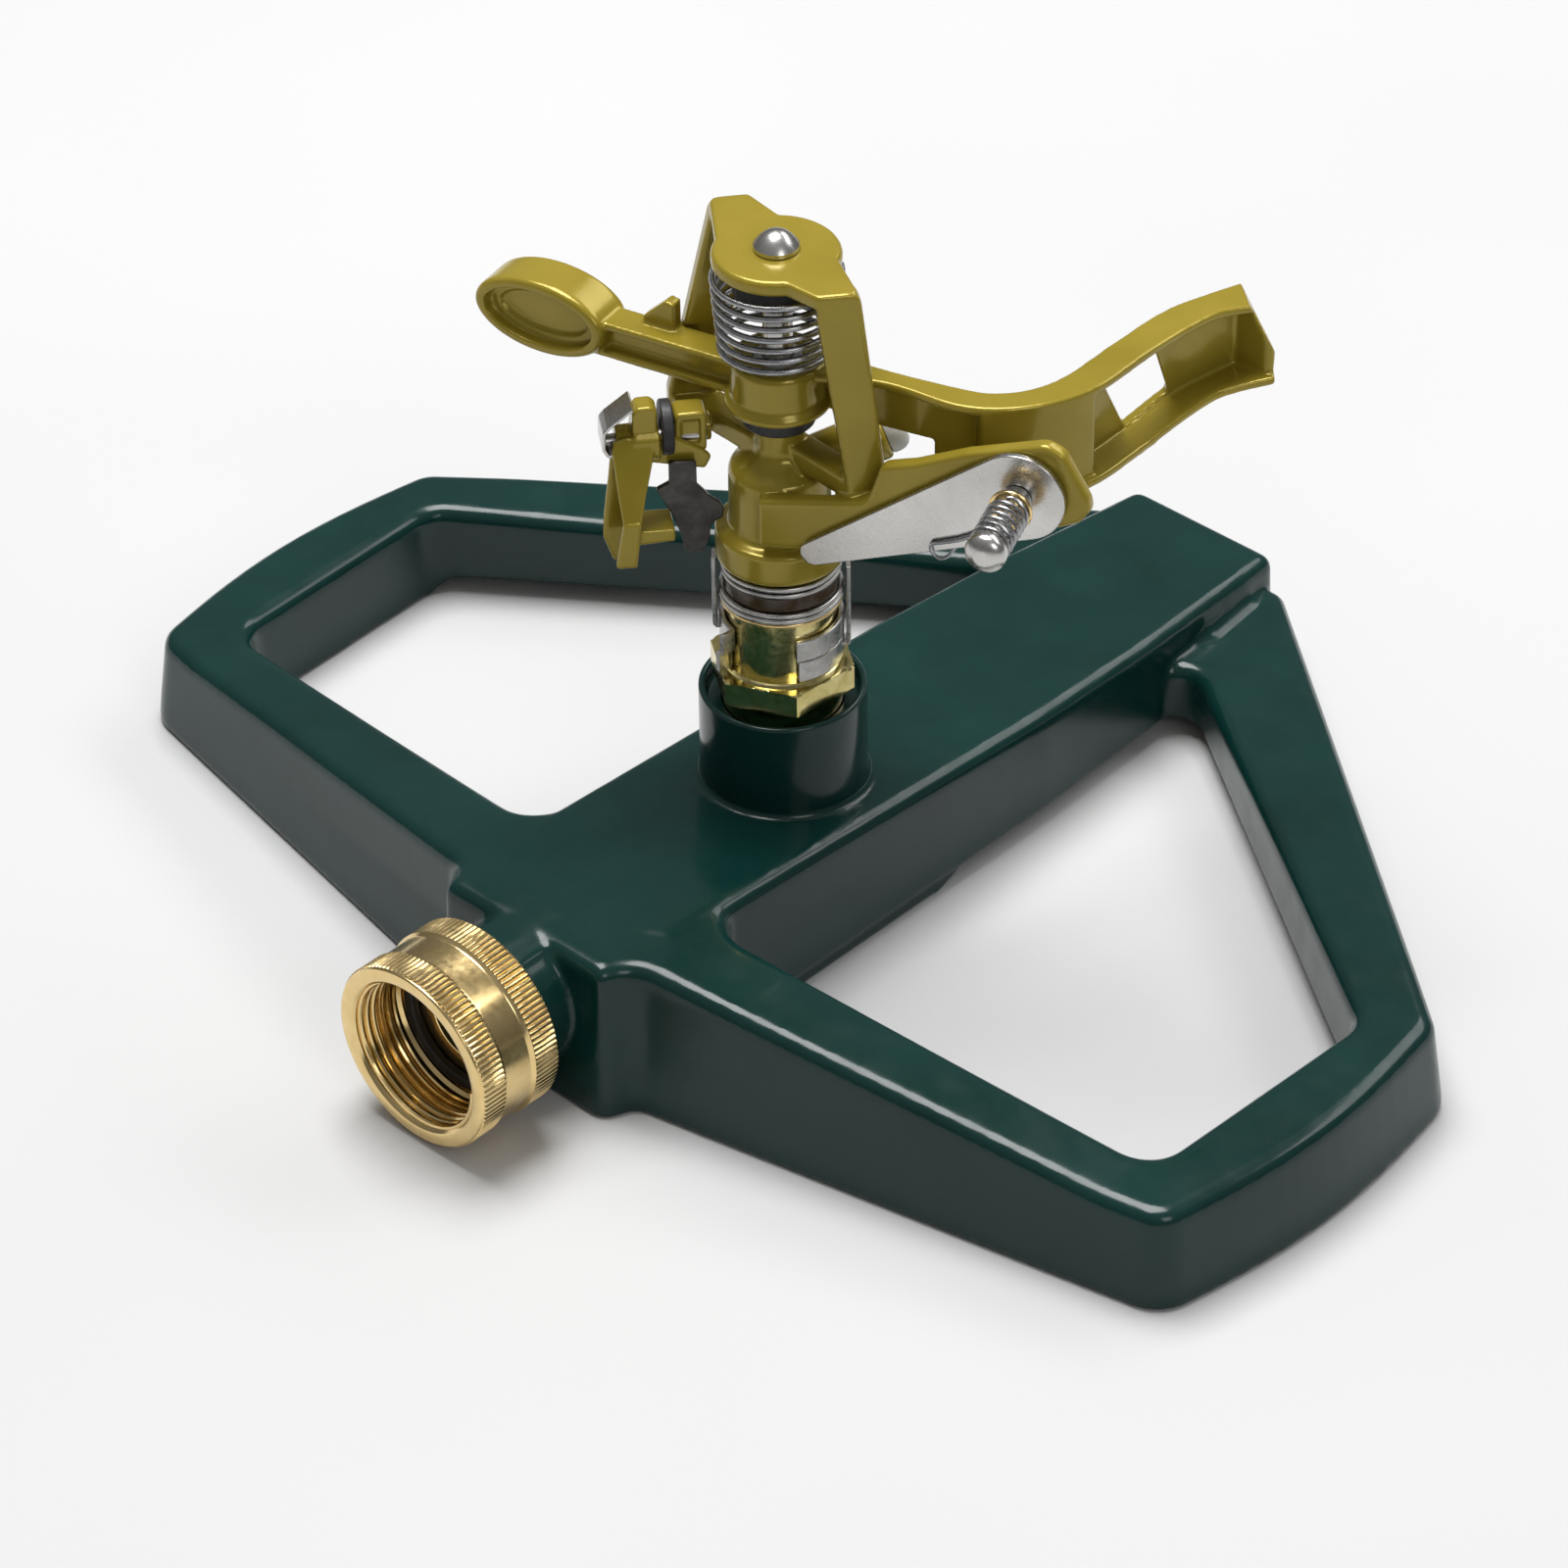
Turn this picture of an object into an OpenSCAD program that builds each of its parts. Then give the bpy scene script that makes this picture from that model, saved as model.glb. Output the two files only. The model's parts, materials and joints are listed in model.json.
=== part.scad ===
// Impact sprinkler on a two-winged cast base, in millimetres.
// Origin: on the ground, on the axis of the riser. +X right, +Y towards the back of the base,
// hose inlet towards -Y, +Z up. The head is drawn in its own frame, with the nozzle along +X,
// and is turned about the riser by head_turn.

/* [Base] */
// Half width of the base at the front rim corner
rim_front_x = 118; // [110:1:125]
// Where the front rim corner lies along Y
rim_front_y = -38.5; // [-42:0.5:-34]
// Half width of the base at the back rim corner
rim_back_x = 119.5; // [114:0.5:126]
// Where the back rim corner lies along Y
rim_back_y = 29.5; // [26:0.5:38]
// How far the outer rim bulges outwards between its corners
rim_bulge = 4; // [1:0.5:7]
// Height of the outer rim
rim_height = 18.6; // [16:0.1:22]
// Height of the spine at its front end
spine_front_height = 29.8; // [28:0.1:32]
// Height of the spine at its back end
spine_back_height = 20; // [18:0.5:24]
// Height of the back arms where they meet the spine
back_arm_height = 13; // [11:0.5:16]
// How far the outer walls of the casting lean outwards at the ground
wall_draft = 2.2; // [1:0.1:3]
// Height of the hollow edges of the spine and back arms above the ground
hem_height = 3.5; // [2:0.5:5]
// Wall thickness of the hollow casting
casting_wall = 3.6; // [3:0.1:4.5]

/* [Inlet] */
// Height of the hose inlet axis
inlet_z = 17.8; // [17.5:0.1:18.5]
// Outer radius of the hose coupling on its knurled rims
coupling_r = 17.2; // [16.5:0.1:17.4]
// Length of the hose coupling
coupling_length = 17.6; // [16:0.1:20]
// Major radius of the 3/4 inch hose thread
hose_thread_r = 13.5; // [13.3:0.05:13.7]
// Pitch of the hose thread
hose_thread_pitch = 1.5; // [1.4:0.05:1.6]

/* [Riser] */
// Outer radius of the cast riser boss
boss_r = 14.4; // [13.5:0.1:16]
// Height of the top of the riser boss
boss_top = 45.8; // [44:0.1:46]
// Radius of the nut over its corners
nut_r = 12.95; // [12.5:0.05:13]
// Outer radius of the swivel stem
stem_r = 6.5; // [6.2:0.1:6.7]
// Running clearance of the swivel stem in the bearing nut, on the radius
stem_clearance = 0.08; // [0.05:0.01:0.1]

/* [Head] */
// Direction of the nozzle, seen from above
head_turn = 52; // [0:1:359]
// Height of the underside of the bridge
bridge_z = 129.8; // [128:0.1:131]
// Thickness of the bridge
bridge_t = 2.8; // [2.4:0.1:3.2]
// Rise of the nozzle above level
nozzle_rise = 20; // [16:1:23]
// Radius of the fulcrum pin
pin_r = 2.5; // [2.2:0.1:2.6]

/* [Impact arm] */
// Height of the top edge of the arm
arm_top = 111.5; // [111:0.1:112]
// Height of the spoon, top to bottom
spoon_height = 18.5; // [16:0.5:19]
// Turns in the arm spring
arm_spring_turns = 7; // [5:1:8]

/* [Hidden] */

$fn = 64;
// A cutter reaches this far past the face that it cuts
past = 1;
// Half width of the spine along most of its length, and at its back end
spine_half = 21;
// The foot of a leaning wall stands upright up to this height
foot_height = 2;
spine_back_half = 16.6;
hub_half = 16;
hub_front_y = -61.5;
spine_back_y = 114;
neck_front_y = -72;
// Corners of one wing's opening: front inner, front outer, back outer, back inner
opening_corners = [[21, -40.5], [107.5, -28.5], [109.5, 21.5], [21.8, 84]];
opening_radii = [7, 7, 7, 5];

nut_z = 46.9;
nut_height = 4.7;
nut_turn = 24.6;
// Counterbore of the boss round the nut
boss_recess_r = 13.2;
boss_recess_depth = 3;
sleeve_r = 9.4;
sleeve_top = 63.9;
thread_stem_r = 10.4;
thread_stem_bottom = 32;
collar_gap = 0.08;
collar_t = 1.1;
collar_height = 4.1;

flange_z = 72.8;
body_r = 8.6;
leg_y = 15.8;
back_leg_y = 17.6;
leg_t = 3.6;
beam_z = 92.2;
neck_r = 4.2;
// Radial plane of the deflector bracket, in the head's frame
bracket_turn = -29;
wall_near = 8;
wall_far = 11;
pivot_s = 45.5;
pivot_z = 102;
deflector_pin_r = 1.6;
knob_z = 17;
trip_y = 3;
trip_z = 96.2;
trip_pin_r = 1.25;
post_front_y = 1.2;
counterweight_turn = 140;
hub_r = 8;

paint_green = [0.03, 0.22, 0.18];
paint_olive = [0.52, 0.46, 0.13];
brass = [0.86, 0.68, 0.34];
zinc_yellow = [0.80, 0.72, 0.38];
steel = [0.72, 0.72, 0.74];
black = [0.08, 0.08, 0.09];

// ---- outline helpers --------------------------------------------------------------------

function unit(v) = v / norm(v);

// Points of the arc of radius r that rounds corner b between neighbours a and c
function corner_arc(a, b, c, r, steps) =
    let (
        u = unit(a - b), w = unit(c - b), half = acos(u * w) / 2,
        reach = r / tan(half), start = b + u * reach, finish = b + w * reach,
        middle = b + unit(u + w) * (r / sin(half)),
        a0 = atan2(start[1] - middle[1], start[0] - middle[0]),
        raw = atan2(finish[1] - middle[1], finish[0] - middle[0]) - a0,
        sweep = raw > 180 ? raw - 360 : raw < -180 ? raw + 360 : raw
    )
    [for (i = [0:steps]) middle + r * [cos(a0 + sweep * i / steps), sin(a0 + sweep * i / steps)]];

// A polygon with every corner rounded by its own radius; a radius of 0 keeps the corner
function rounded(points, radii, steps = 5) =
    let (n = len(points))
    [for (i = [0:n - 1])
        each (radii[i] == 0 ? [points[i]]
            : corner_arc(points[(i + n - 1) % n], points[i], points[(i + 1) % n], radii[i], steps))];

// The same polygon with each side moved inwards by d (counter-clockwise points)
function inset(points, d) =
    let (n = len(points))
    [for (i = [0:n - 1])
        let (
            b = points[i], u = unit(b - points[(i + n - 1) % n]), w = unit(points[(i + 1) % n] - b),
            turn = u[0] * w[1] - u[1] * w[0], bend = 1 + u * w
        )
        b + d * ([-u[1], u[0]] + [-w[1], w[0]]) / bend];

// Points on a shallow arc from a to b that bulges to the right of the direction of travel
function bulge_arc(a, b, rise, steps) =
    let (along = b - a, side = unit([along[1], -along[0]]))
    [for (i = [1:steps - 1]) a + along * i / steps + side * rise * sin(180 * i / steps)];

// A wire wound round Z as one swept tube
module coil(turns, r0, r1, z0, z1, wire_r, per_turn = 20, sides = 6) {
    rings = turns * per_turn;
    points = [for (i = [0:rings]) let (
            t = i / rings, a = 360 * turns * t, r = r0 + (r1 - r0) * t, z = z0 + (z1 - z0) * t
        ) for (k = [0:sides - 1]) let (b = 360 * k / sides)
            [(r + wire_r * cos(b)) * cos(a), (r + wire_r * cos(b)) * sin(a), z + wire_r * sin(b)]];
    skin = [for (i = [0:rings - 1]) for (k = [0:sides - 1])
        let (p = i * sides + k, q = i * sides + (k + 1) % sides) [p, q, q + sides, p + sides]];
    polyhedron(points, concat(
        [[for (k = [sides - 1:-1:0]) k]], [[for (k = [0:sides - 1]) rings * sides + k]],
        [for (f = skin) [f[3], f[2], f[1], f[0]]]), convexity = 10);
}

module tube(r, inner, z0, z1) {
    translate([0, 0, z0]) difference() {
        cylinder(r = r, h = z1 - z0);
        translate([0, 0, -past]) cylinder(r = inner, h = z1 - z0 + 2 * past);
    }
}

// A cylinder along Y, at the inlet's height, from y0 to y1
module along_inlet(r, y0, y1) {
    translate([0, y0, inlet_z]) rotate([-90, 0, 0]) cylinder(r = r, h = y1 - y0);
}

module in_head() { rotate([0, 0, head_turn]) children(); }

// A side profile drawn as (distance along turn, height), with its thickness given by the
// distances near and far on the right-hand side of that direction
module upright(turn, near, far) {
    rotate([0, 0, turn]) translate([0, -near, 0]) rotate([90, 0, 0])
        linear_extrude(far - near) children();
}

// ---- base -------------------------------------------------------------------------------

wing_corners = concat(
    [[5, -54.5], [22, -54.5], [rim_front_x, rim_front_y]],
    bulge_arc([rim_front_x, rim_front_y], [rim_back_x, rim_back_y], rim_bulge, 6),
    [[rim_back_x, rim_back_y], [24, 104], [5, 104]]);
wing_radii = [0, 3, 6, 0, 0, 0, 0, 0, 6, 3, 0];

// Side profile across the wing: front arms fall outwards to the rim, back arms rise to it
front_profile = [[0, -5], [rim_front_x + 20, -5], [rim_front_x + 20, rim_height],
    [107, rim_height], [spine_half, 27.8], [0, 29.9]];
back_profile = [[0, -5], [rim_front_x + 20, -5], [rim_front_x + 20, rim_height],
    [107, rim_height], [spine_half, back_arm_height], [0, back_arm_height - 1.3]];

// Takes away what lies outside the leaning wall between corners a and b of an outline
module draft_cut(a, b) {
    low = -wall_draft * (rim_height + past) / (rim_height - foot_height);
    translate([a[0], a[1], 0]) rotate([0, 0, atan2(b[1] - a[1], b[0] - a[0])])
        rotate([90, 0, 90]) translate([0, 0, -20]) linear_extrude(norm(b - a) + 40)
            polygon([[0, rim_height], [0, 50], [-30, 50], [-30, -past], [low, -past]]);
}

// The frame of one wing, under a side profile lowered by d. Its outer outline is moved in by
// outer_shift and the walls of its opening are moved into the casting by d.
module wing_half(d, outer_shift, profile, y0, length) {
    intersection() {
        translate([0, 0, -sign(d) * past]) linear_extrude(40) difference() {
            polygon(rounded(inset(wing_corners, outer_shift), wing_radii));
            polygon(rounded(inset(opening_corners, -d), opening_radii));
        }
        translate([0, y0 + length, -d]) rotate([90, 0, 0]) linear_extrude(length) polygon(profile);
    }
}

module wing() {
    n = len(wing_corners);
    difference() {
        union() {
            wing_half(0, -wall_draft, front_profile, -80, 82);
            wing_half(0, -wall_draft, back_profile, 0, 120);
        }
        for (i = [0:n - 2]) draft_cut(wing_corners[i], wing_corners[i + 1]);
        difference() {
            union() {
                wing_half(casting_wall, casting_wall, front_profile, -80, 82);
                wing_half(casting_wall, casting_wall, back_profile, 0, 120);
            }
            translate([-past, -80, -5]) cube([spine_half + casting_wall + past, 220, 60]);
        }
        // The back arms clear the ground between the rim and the spine
        translate([0, 0, -past]) linear_extrude(hem_height + past)
            polygon([[0, -36], [40, -36], [40, 20], [100, 24], [110, 40], [110, 130], [0, 130]]);
    }
}

module spine() {
    half_points = [[hub_half, -52], [spine_half, -50], [spine_half, 45], [19.8, 75],
        [spine_back_half, spine_back_y]];
    slope_at = function (y) spine_front_height
        + (spine_back_height - spine_front_height) * (y - hub_front_y) / (spine_back_y - hub_front_y);
    hub = [[-hub_half, -40], [-hub_half, hub_front_y], [hub_half, hub_front_y], [hub_half, -40]];
    intersection() {
        difference() {
            union() {
                linear_extrude(60) polygon(concat(half_points,
                    [for (i = [len(half_points) - 1:-1:0]) [-half_points[i][0], half_points[i][1]]]));
                difference() {
                    linear_extrude(60) polygon(inset(hub, -wall_draft));
                    for (i = [0:2]) draft_cut(hub[i], hub[i + 1]);
                }
            }
            translate([-30, -36, -past]) cube([60, spine_back_y - 6 + 36, hem_height + past]);
        }
        rotate([90, 0, 90]) translate([0, 0, -60]) linear_extrude(120)
            polygon([[-70, 0], [130, 0], [130, slope_at(130)], [-70, slope_at(-70)]]);
    }
}

module base_casting() {
    color(paint_green) difference() {
        union() {
            for (side = [0, 1]) mirror([side, 0, 0]) wing();
            spine();
            translate([0, 0, 20]) cylinder(r = boss_r, h = boss_top - 20);
            // Middle foot under the riser
            cylinder(r = 12, h = 6);
            along_inlet(12.4, neck_front_y, hub_front_y + past);
            translate([-6.4, neck_front_y, inlet_z])
                cube([12.8, hub_front_y - neck_front_y + past, 11.4]);
        }
        // Hollow under the back of the spine and under its front end
        translate([-14, 16, -past]) cube([28, 90, 15 + past]);
        // Water way: inlet bore, riser bore and the threaded seat of the bearing nut
        along_inlet(10, neck_front_y - past, -52);
        along_inlet(7, -54, 0);
        translate([0, 0, inlet_z - 6]) cylinder(r = 7.5, h = 20);
        translate([0, 0, 25.5]) cylinder(r = thread_stem_r, h = boss_top);
        translate([0, 0, boss_top - boss_recess_depth]) cylinder(r = boss_recess_r, h = 10);
    }
}

module inlet_nipple() {
    color(brass) difference() {
        union() {
            along_inlet(10, -76, -52);
            along_inlet(12.3, -78, -75.6);
        }
        along_inlet(7, -79, -51);
    }
}

module hose_washer() {
    color(black) difference() {
        along_inlet(12.4, -79.9, -78);
        along_inlet(7.2, -81, -77);
    }
}

coupling_back = -72.6;
coupling_front = coupling_back - coupling_length;
knurl_count = 60;
relief_y = -80.2;
relief_r = 13.2;
module hose_coupling() {
    color(brass) difference() {
        union() {
            along_inlet(coupling_r - 0.9, coupling_front, coupling_back);
            for (rim = [[coupling_front + 0.8, 4.4], [coupling_back - 5, 4.6]])
                along_inlet(coupling_r, rim[0], rim[0] + rim[1]);
        }
        along_inlet(hose_thread_r - 0.7, coupling_front - past, relief_y);
        for (i = [0:5]) along_inlet(hose_thread_r, coupling_front + 0.8 + hose_thread_pitch * i,
            coupling_front + 1.7 + hose_thread_pitch * i);
        // Relief behind the thread, for the washer and the nipple's flange
        along_inlet(relief_r, relief_y, coupling_back - 2.4);
        along_inlet(10.3, coupling_front, coupling_back + past);
        for (i = [0:knurl_count - 1]) translate([0, 0, inlet_z]) rotate([0, 360 * i / knurl_count, 0])
            translate([coupling_r, 0, 0]) rotate([0, 45, 0])
                translate([-0.32, coupling_back - 5 - past, -0.32]) cube([0.64, 5 + 2 * past, 0.64]);
    }
}

module coupling_clip_ring() {
    color(steel) difference() {
        along_inlet(relief_r - 0.08, -75.5, -75.05);
        along_inlet(10.5, -77, -74);
    }
}

// ---- bearing ----------------------------------------------------------------------------

module bearing_nut() {
    color(zinc_yellow) difference() {
        union() {
            translate([0, 0, thread_stem_bottom])
                cylinder(r = thread_stem_r, h = nut_z - thread_stem_bottom + past);
            rotate([0, 0, nut_turn]) translate([0, 0, nut_z]) cylinder(r = nut_r, h = nut_height, $fn = 6);
            translate([0, 0, nut_z]) cylinder(r = sleeve_r, h = sleeve_top - nut_z);
            translate([0, 0, nut_z + nut_height]) cylinder(r = sleeve_r + 0.9, h = 0.8);
        }
        translate([0, 0, thread_stem_bottom - past])
            cylinder(r = stem_r + stem_clearance, h = sleeve_top - thread_stem_bottom + 2 * past);
    }
}

module swivel_stem() {
    color(brass) difference() {
        union() {
            translate([0, 0, 28]) cylinder(r = stem_r, h = 50);
            translate([0, 0, 26]) cylinder(r = 9, h = 2);
        }
        translate([0, 0, 25]) cylinder(r = 4.6, h = 60);
    }
}

module stem_washer() { color([0.9, 0.9, 0.86]) tube(9, stem_r, 28, 29.4); }
module stem_seal() { color(black) tube(8.8, stem_r, 29.4, 31.6); }
module thrust_washer() { color(brass) tube(10.5, stem_r, 64.1, 65); }
module cap_ring() { color(steel) tube(10.6, stem_r, 65, 66.8); }
module bearing_seal() { color([0.2, 0.12, 0.07]) tube(10, 8.8, 66.8, 69.8); }
module spring_cup() { color(steel) tube(10.4, 8.8, 69.8, 71.3); }
module bearing_spring() { color(steel) coil(3, 7.7, 7.7, 67.4, 72.2, 0.55, 24); }

// A sheet-metal band clipped round the sleeve. It has a gap, an outward trip tab at one end
// and a finger that stands up to catch the pawl.
module trip_collar(z0, opening_from, opening_to, finger_at, finger_top) {
    inner = sleeve_r + collar_gap;
    difference() {
        tube(inner + collar_t, inner, z0, z0 + collar_height);
        rotate([0, 0, opening_from]) translate([0, 0, z0 - past])
            rotate_extrude(angle = opening_to - opening_from) translate([5, 0])
                square([12, collar_height + 2 * past]);
    }
    rotate([0, 0, opening_from - 6]) translate([inner + 0.3, 0, z0]) cube([3.2, 1, collar_height]);
    rotate([0, 0, finger_at]) {
        translate([inner + 0.3, -1.6, z0 + 1]) cube([1.8, 3.2, 1.1]);
        translate([inner + 1.4, -1.6, z0 + 1]) cube([0.8, 3.2, finger_top - z0 - 1]);
    }
}
module trip_collar_upper() { color(steel) trip_collar(56.7, -98, -33, 222, 72.2); }
module trip_collar_lower() { color(steel) trip_collar(52.5, -104, -31, 44, 70.2); }

// ---- head -------------------------------------------------------------------------------

bracket_outline = [[0, 80.5], [6, 81.5], [46, 93.6], [51.8, 96.2], [55.6, 98.1], [57.3, 100.7],
    [57, 102.6], [52.6, 110.6], [49.5, 112], [35.9, 107.4], [27.2, 103.4], [21.5, 101.6], [19, 94],
    [0, 90]];

// One side of the yoke: half of the bridge, its leg and the beam under it. The leg's near and
// far edges lie at top and low, and its outer face at reach.
module yoke_side(top, low, reach, thick) {
    leg = [[top[0], bridge_z + bridge_t], [top[0], bridge_z - 2], [low[0], beam_z],
        [low[1], beam_z], [low[1], 97], [top[1], bridge_z + bridge_t]];
    translate([0, 0, bridge_z]) linear_extrude(bridge_t)
        polygon([[-5, -5], [top[0], -reach], [top[1], -reach], [9.4, -4]]);
    translate([0, thick - reach, 0]) rotate([90, 0, 0]) linear_extrude(thick) polygon(leg);
    translate([0, 0, beam_z]) linear_extrude(4.2)
        polygon([[-1.5, 0], [low[0], -reach], [low[1], -reach], [4.5, 0]]);
}

module nozzle_axis() { translate([0, 0, 88.2]) rotate([0, 90 - nozzle_rise, 0]) children(); }

module head_body() {
    color(paint_olive) in_head() difference() {
        union() {
            translate([0, 0, flange_z]) cylinder(r = 11, h = 6.2);
            translate([0, 0, flange_z]) cylinder(r = body_r, h = 17.7);
            translate([0, 0, 90.5]) cylinder(r1 = body_r, r2 = neck_r, h = 3.2, $fn = 64);
            translate([0, 0, 88]) cylinder(r = neck_r, h = 11.4);
            translate([0, 0, bridge_z]) cylinder(r = 10.75, h = bridge_t);
            yoke_side([4.2, 11.2], [9.2, 15.3], leg_y, leg_t);
            rotate([0, 0, 180]) yoke_side([1.8, 8.5], [9.3, 16.4], back_leg_y, leg_t);
            nozzle_axis() cylinder(r = 4.4, h = 19);
            upright(bracket_turn, wall_near, wall_far) polygon(bracket_outline);
            // Boss that carries the deflector pin
            upright(bracket_turn, wall_near, wall_far + 0.3) translate([pivot_s, pivot_z]) circle(r = 4);
            // Post that carries the trip shaft, and its link to the back leg
            translate([-17.2, post_front_y, 93.4]) cube([5.4, 4.8, 7.8]);
            translate([-15.6, post_front_y + 3, 93.4]) cube([5, 11, 3]);
        }
        translate([0, 0, flange_z - past]) cylinder(r = stem_r, h = 5.2 + past);
        translate([0, 0, flange_z]) cylinder(r = 4.6, h = 14);
        nozzle_axis() cylinder(r = 3, h = 30);
        translate([0, 0, 94.6]) cylinder(r = pin_r, h = 60);
        upright(bracket_turn, wall_near - past, wall_far + past)
            translate([pivot_s, pivot_z]) circle(r = deflector_pin_r);
        // Room for the counterweight beam at rest beside the back leg
        upright(counterweight_turn + 180, -3.6, 3) translate([-26, 101.8]) square([16, 8.4]);
        // Bore for the trip shaft and the tapped hole of the rear plug
        translate([-20, trip_y, trip_z]) rotate([0, 90, 0]) cylinder(r = trip_pin_r + 0.06, h = 14);
        translate([-5, 0, 82]) rotate([0, -90, 0]) cylinder(r = 2.4, h = 10);
    }
}

module nozzle() {
    color([0.93, 0.93, 0.9]) in_head() nozzle_axis() difference() {
        union() {
            translate([0, 0, 12]) cylinder(r = 3, h = 7.5);
            translate([0, 0, 19]) cylinder(r = 3.8, h = 3.4);
        }
        translate([0, 0, 11]) cylinder(r = 1.9, h = 13);
    }
}

module rear_plug() {
    color(brass) in_head() {
        difference() {
            translate([-5.2, 0, 82]) rotate([0, -90, 0]) cylinder(r = 2.4, h = 3);
            translate([-6.8, 0, 82]) rotate([0, -90, 0]) cylinder(r = 1.3, h = 3, $fn = 6);
        }
    }
}

module fulcrum_pin() {
    color(steel) {
        translate([0, 0, 94.6]) cylinder(r = pin_r, h = bridge_z + bridge_t - 94.6 + 0.5);
        intersection() {
            translate([0, 0, bridge_z + bridge_t]) cylinder(r = 4, h = 4);
            translate([0, 0, bridge_z + bridge_t - 1.6]) sphere(r = 5);
        }
    }
}

module arm_washer() { color(black) tube(6.2, pin_r, 99.4, 102.6); }

// ---- impact arm -------------------------------------------------------------------------

// Outer (back) and inner (front) line of the striking arm, seen from above
arm_back = [[6, 3], [15.6, -5.5], [28.4, -14.2], [33.7, -16.3], [39.4, -16], [45.6, -13],
    [55.5, -4.6], [65.2, 3], [72.5, 6.4], [79.4, 9]];
arm_front = [[84.6, 3], [83.6, 1.4], [77, 1.2], [72, -0.4], [62, -7.4], [51, -16.8], [43, -20.6], [34, -21.4],
    [26, -18.6], [16, -10.6], [4, -6]];
arm_wall = 1.8;

// Front line moved back so that a strip arm_wall wide is left along the back line
function shifted(points, d) = [for (i = [0:len(points) - 1])
    let (
        a = points[max(i - 1, 0)], b = points[min(i + 1, len(points) - 1)], u = unit(b - a)
    ) points[i] + d * [u[1], -u[0]]];

module arm_strip(z0, z1) {
    translate([0, 0, z0]) linear_extrude(z1 - z0)
        polygon(concat(arm_back, [for (i = [len(arm_back) - 1:-1:0]) shifted(arm_back, arm_wall)[i]]));
}

module arm_flange(z0, z1) {
    translate([0, 0, z0]) linear_extrude(z1 - z0) polygon(concat(arm_back, arm_front));
}

// Keeps only the stretch of the arm between two distances from the fulcrum along X
module arm_stretch(x0, x1) {
    intersection() {
        children();
        translate([x0, -40, 80]) cube([x1 - x0, 80, 60]);
    }
}

module counterweight_oval(half_length, half_height, near, far) {
    upright(counterweight_turn + 180, near, far) translate([-44.3, 107])
        polygon([for (a = [0:10:350]) [half_length * cos(a), half_height * sin(a)]]);
}

window_outline = [[51.4, 109.7], [57.2, 95], [65.4, 95.4], [61.4, 109.7]];

module impact_arm() {
    spoon_bottom = arm_top - spoon_height;
    color(paint_olive) in_head() difference() {
        union() {
            translate([0, 0, 103]) cylinder(r = hub_r + 1, h = 1.6);
            translate([0, 0, 103]) cylinder(r = hub_r, h = 9);
            arm_stretch(0, 30) arm_strip(103, arm_top);
            arm_stretch(30, 90) arm_strip(spoon_bottom, arm_top);
            arm_flange(arm_top - 1.6, arm_top);
            translate([0, -1.5, 0]) arm_stretch(30, 90)
                arm_flange(spoon_bottom, spoon_bottom + 1.6);
            // Solid elbow between the two recesses, and the end wall of the spoon
            arm_stretch(29, 50) arm_flange(spoon_bottom, arm_top);
            arm_stretch(78.4, 90) arm_flange(spoon_bottom + 1.5, arm_top);
            // Rest lug that stands on the counterweight beam beside the back leg
            upright(counterweight_turn + 180, -2.8, -0.6)
                polygon([[-26, 107], [-25.2, 110.4], [-21.6, 114.8], [-20.8, 114.8], [-20.8, 107]]);
            // Counterweight: web, two flanges and a cupped oval
            upright(counterweight_turn + 180, -1, 1)
                polygon([[-34, 102.6], [-6, 103.4], [-6, 109.4], [-34, 109]]);
            for (z = [102.4, 107.8])
                upright(counterweight_turn + 180, -3, 3)
                    polygon([[-34, z], [-6.5, z + 0.8], [-6.5, z + 2.2], [-34, z + 1.4]]);
            counterweight_oval(12.7, 6.9, -4.2, 4.5);
        }
        counterweight_oval(10.6, 5.0, 1.6, 4.5 + past);
        translate([0, 0, 100]) cylinder(r = 4, h = 20);
        // Window that lets the jet through the spoon
        upright(0, -12, 16) polygon(window_outline);
        // Slanted end of the spoon
        upright(0, -20, 20) polygon([[78.6, 113], [84.1, 101.4], [83.1, 90], [95, 90], [95, 113]]);
    }
}

module arm_bushing() { color([0.9, 0.9, 0.86]) tube(4, pin_r + 0.08, 102.8, 112.4); }

module arm_spring() {
    color(steel) coil(arm_spring_turns, 9.6, 11.6, 113.2, 128.4, 0.65, 24);
}

module spring_cap() { color(black) tube(7.4, pin_r, 124.6, bridge_z); }

// ---- deflector --------------------------------------------------------------------------

// Round pivot end joined to a narrow tip by two straight edges
module wedge_outline() {
    tip = [pivot_s - 35.2, pivot_z - 19.2];
    reach = norm([35.2, 19.2]);
    slope = atan2(tip[1] - pivot_z, tip[0] - pivot_s);
    lean = acos((8 - 2.2) / reach);
    polygon([
        for (i = [0:24]) let (a = slope + lean + (360 - 2 * lean) * i / 24)
            [pivot_s, pivot_z] + 8 * [cos(a), sin(a)],
        for (i = [0:8]) let (a = slope - lean + 2 * lean * i / 8) tip + 2.2 * [cos(a), sin(a)]]);
}

module deflector_plate() {
    color(steel) in_head() upright(bracket_turn, wall_far + 0.4, wall_far + 1.6) difference() {
        wedge_outline();
        translate([pivot_s, pivot_z]) circle(r = deflector_pin_r + 0.08);
    }
}

// Parts that sit on the deflector pin, with Z running out along it from the bracket wall
module on_deflector_pin() {
    in_head() rotate([0, 0, bracket_turn]) translate([pivot_s, -wall_far, pivot_z])
        rotate([90, 0, 0]) children();
}

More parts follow.
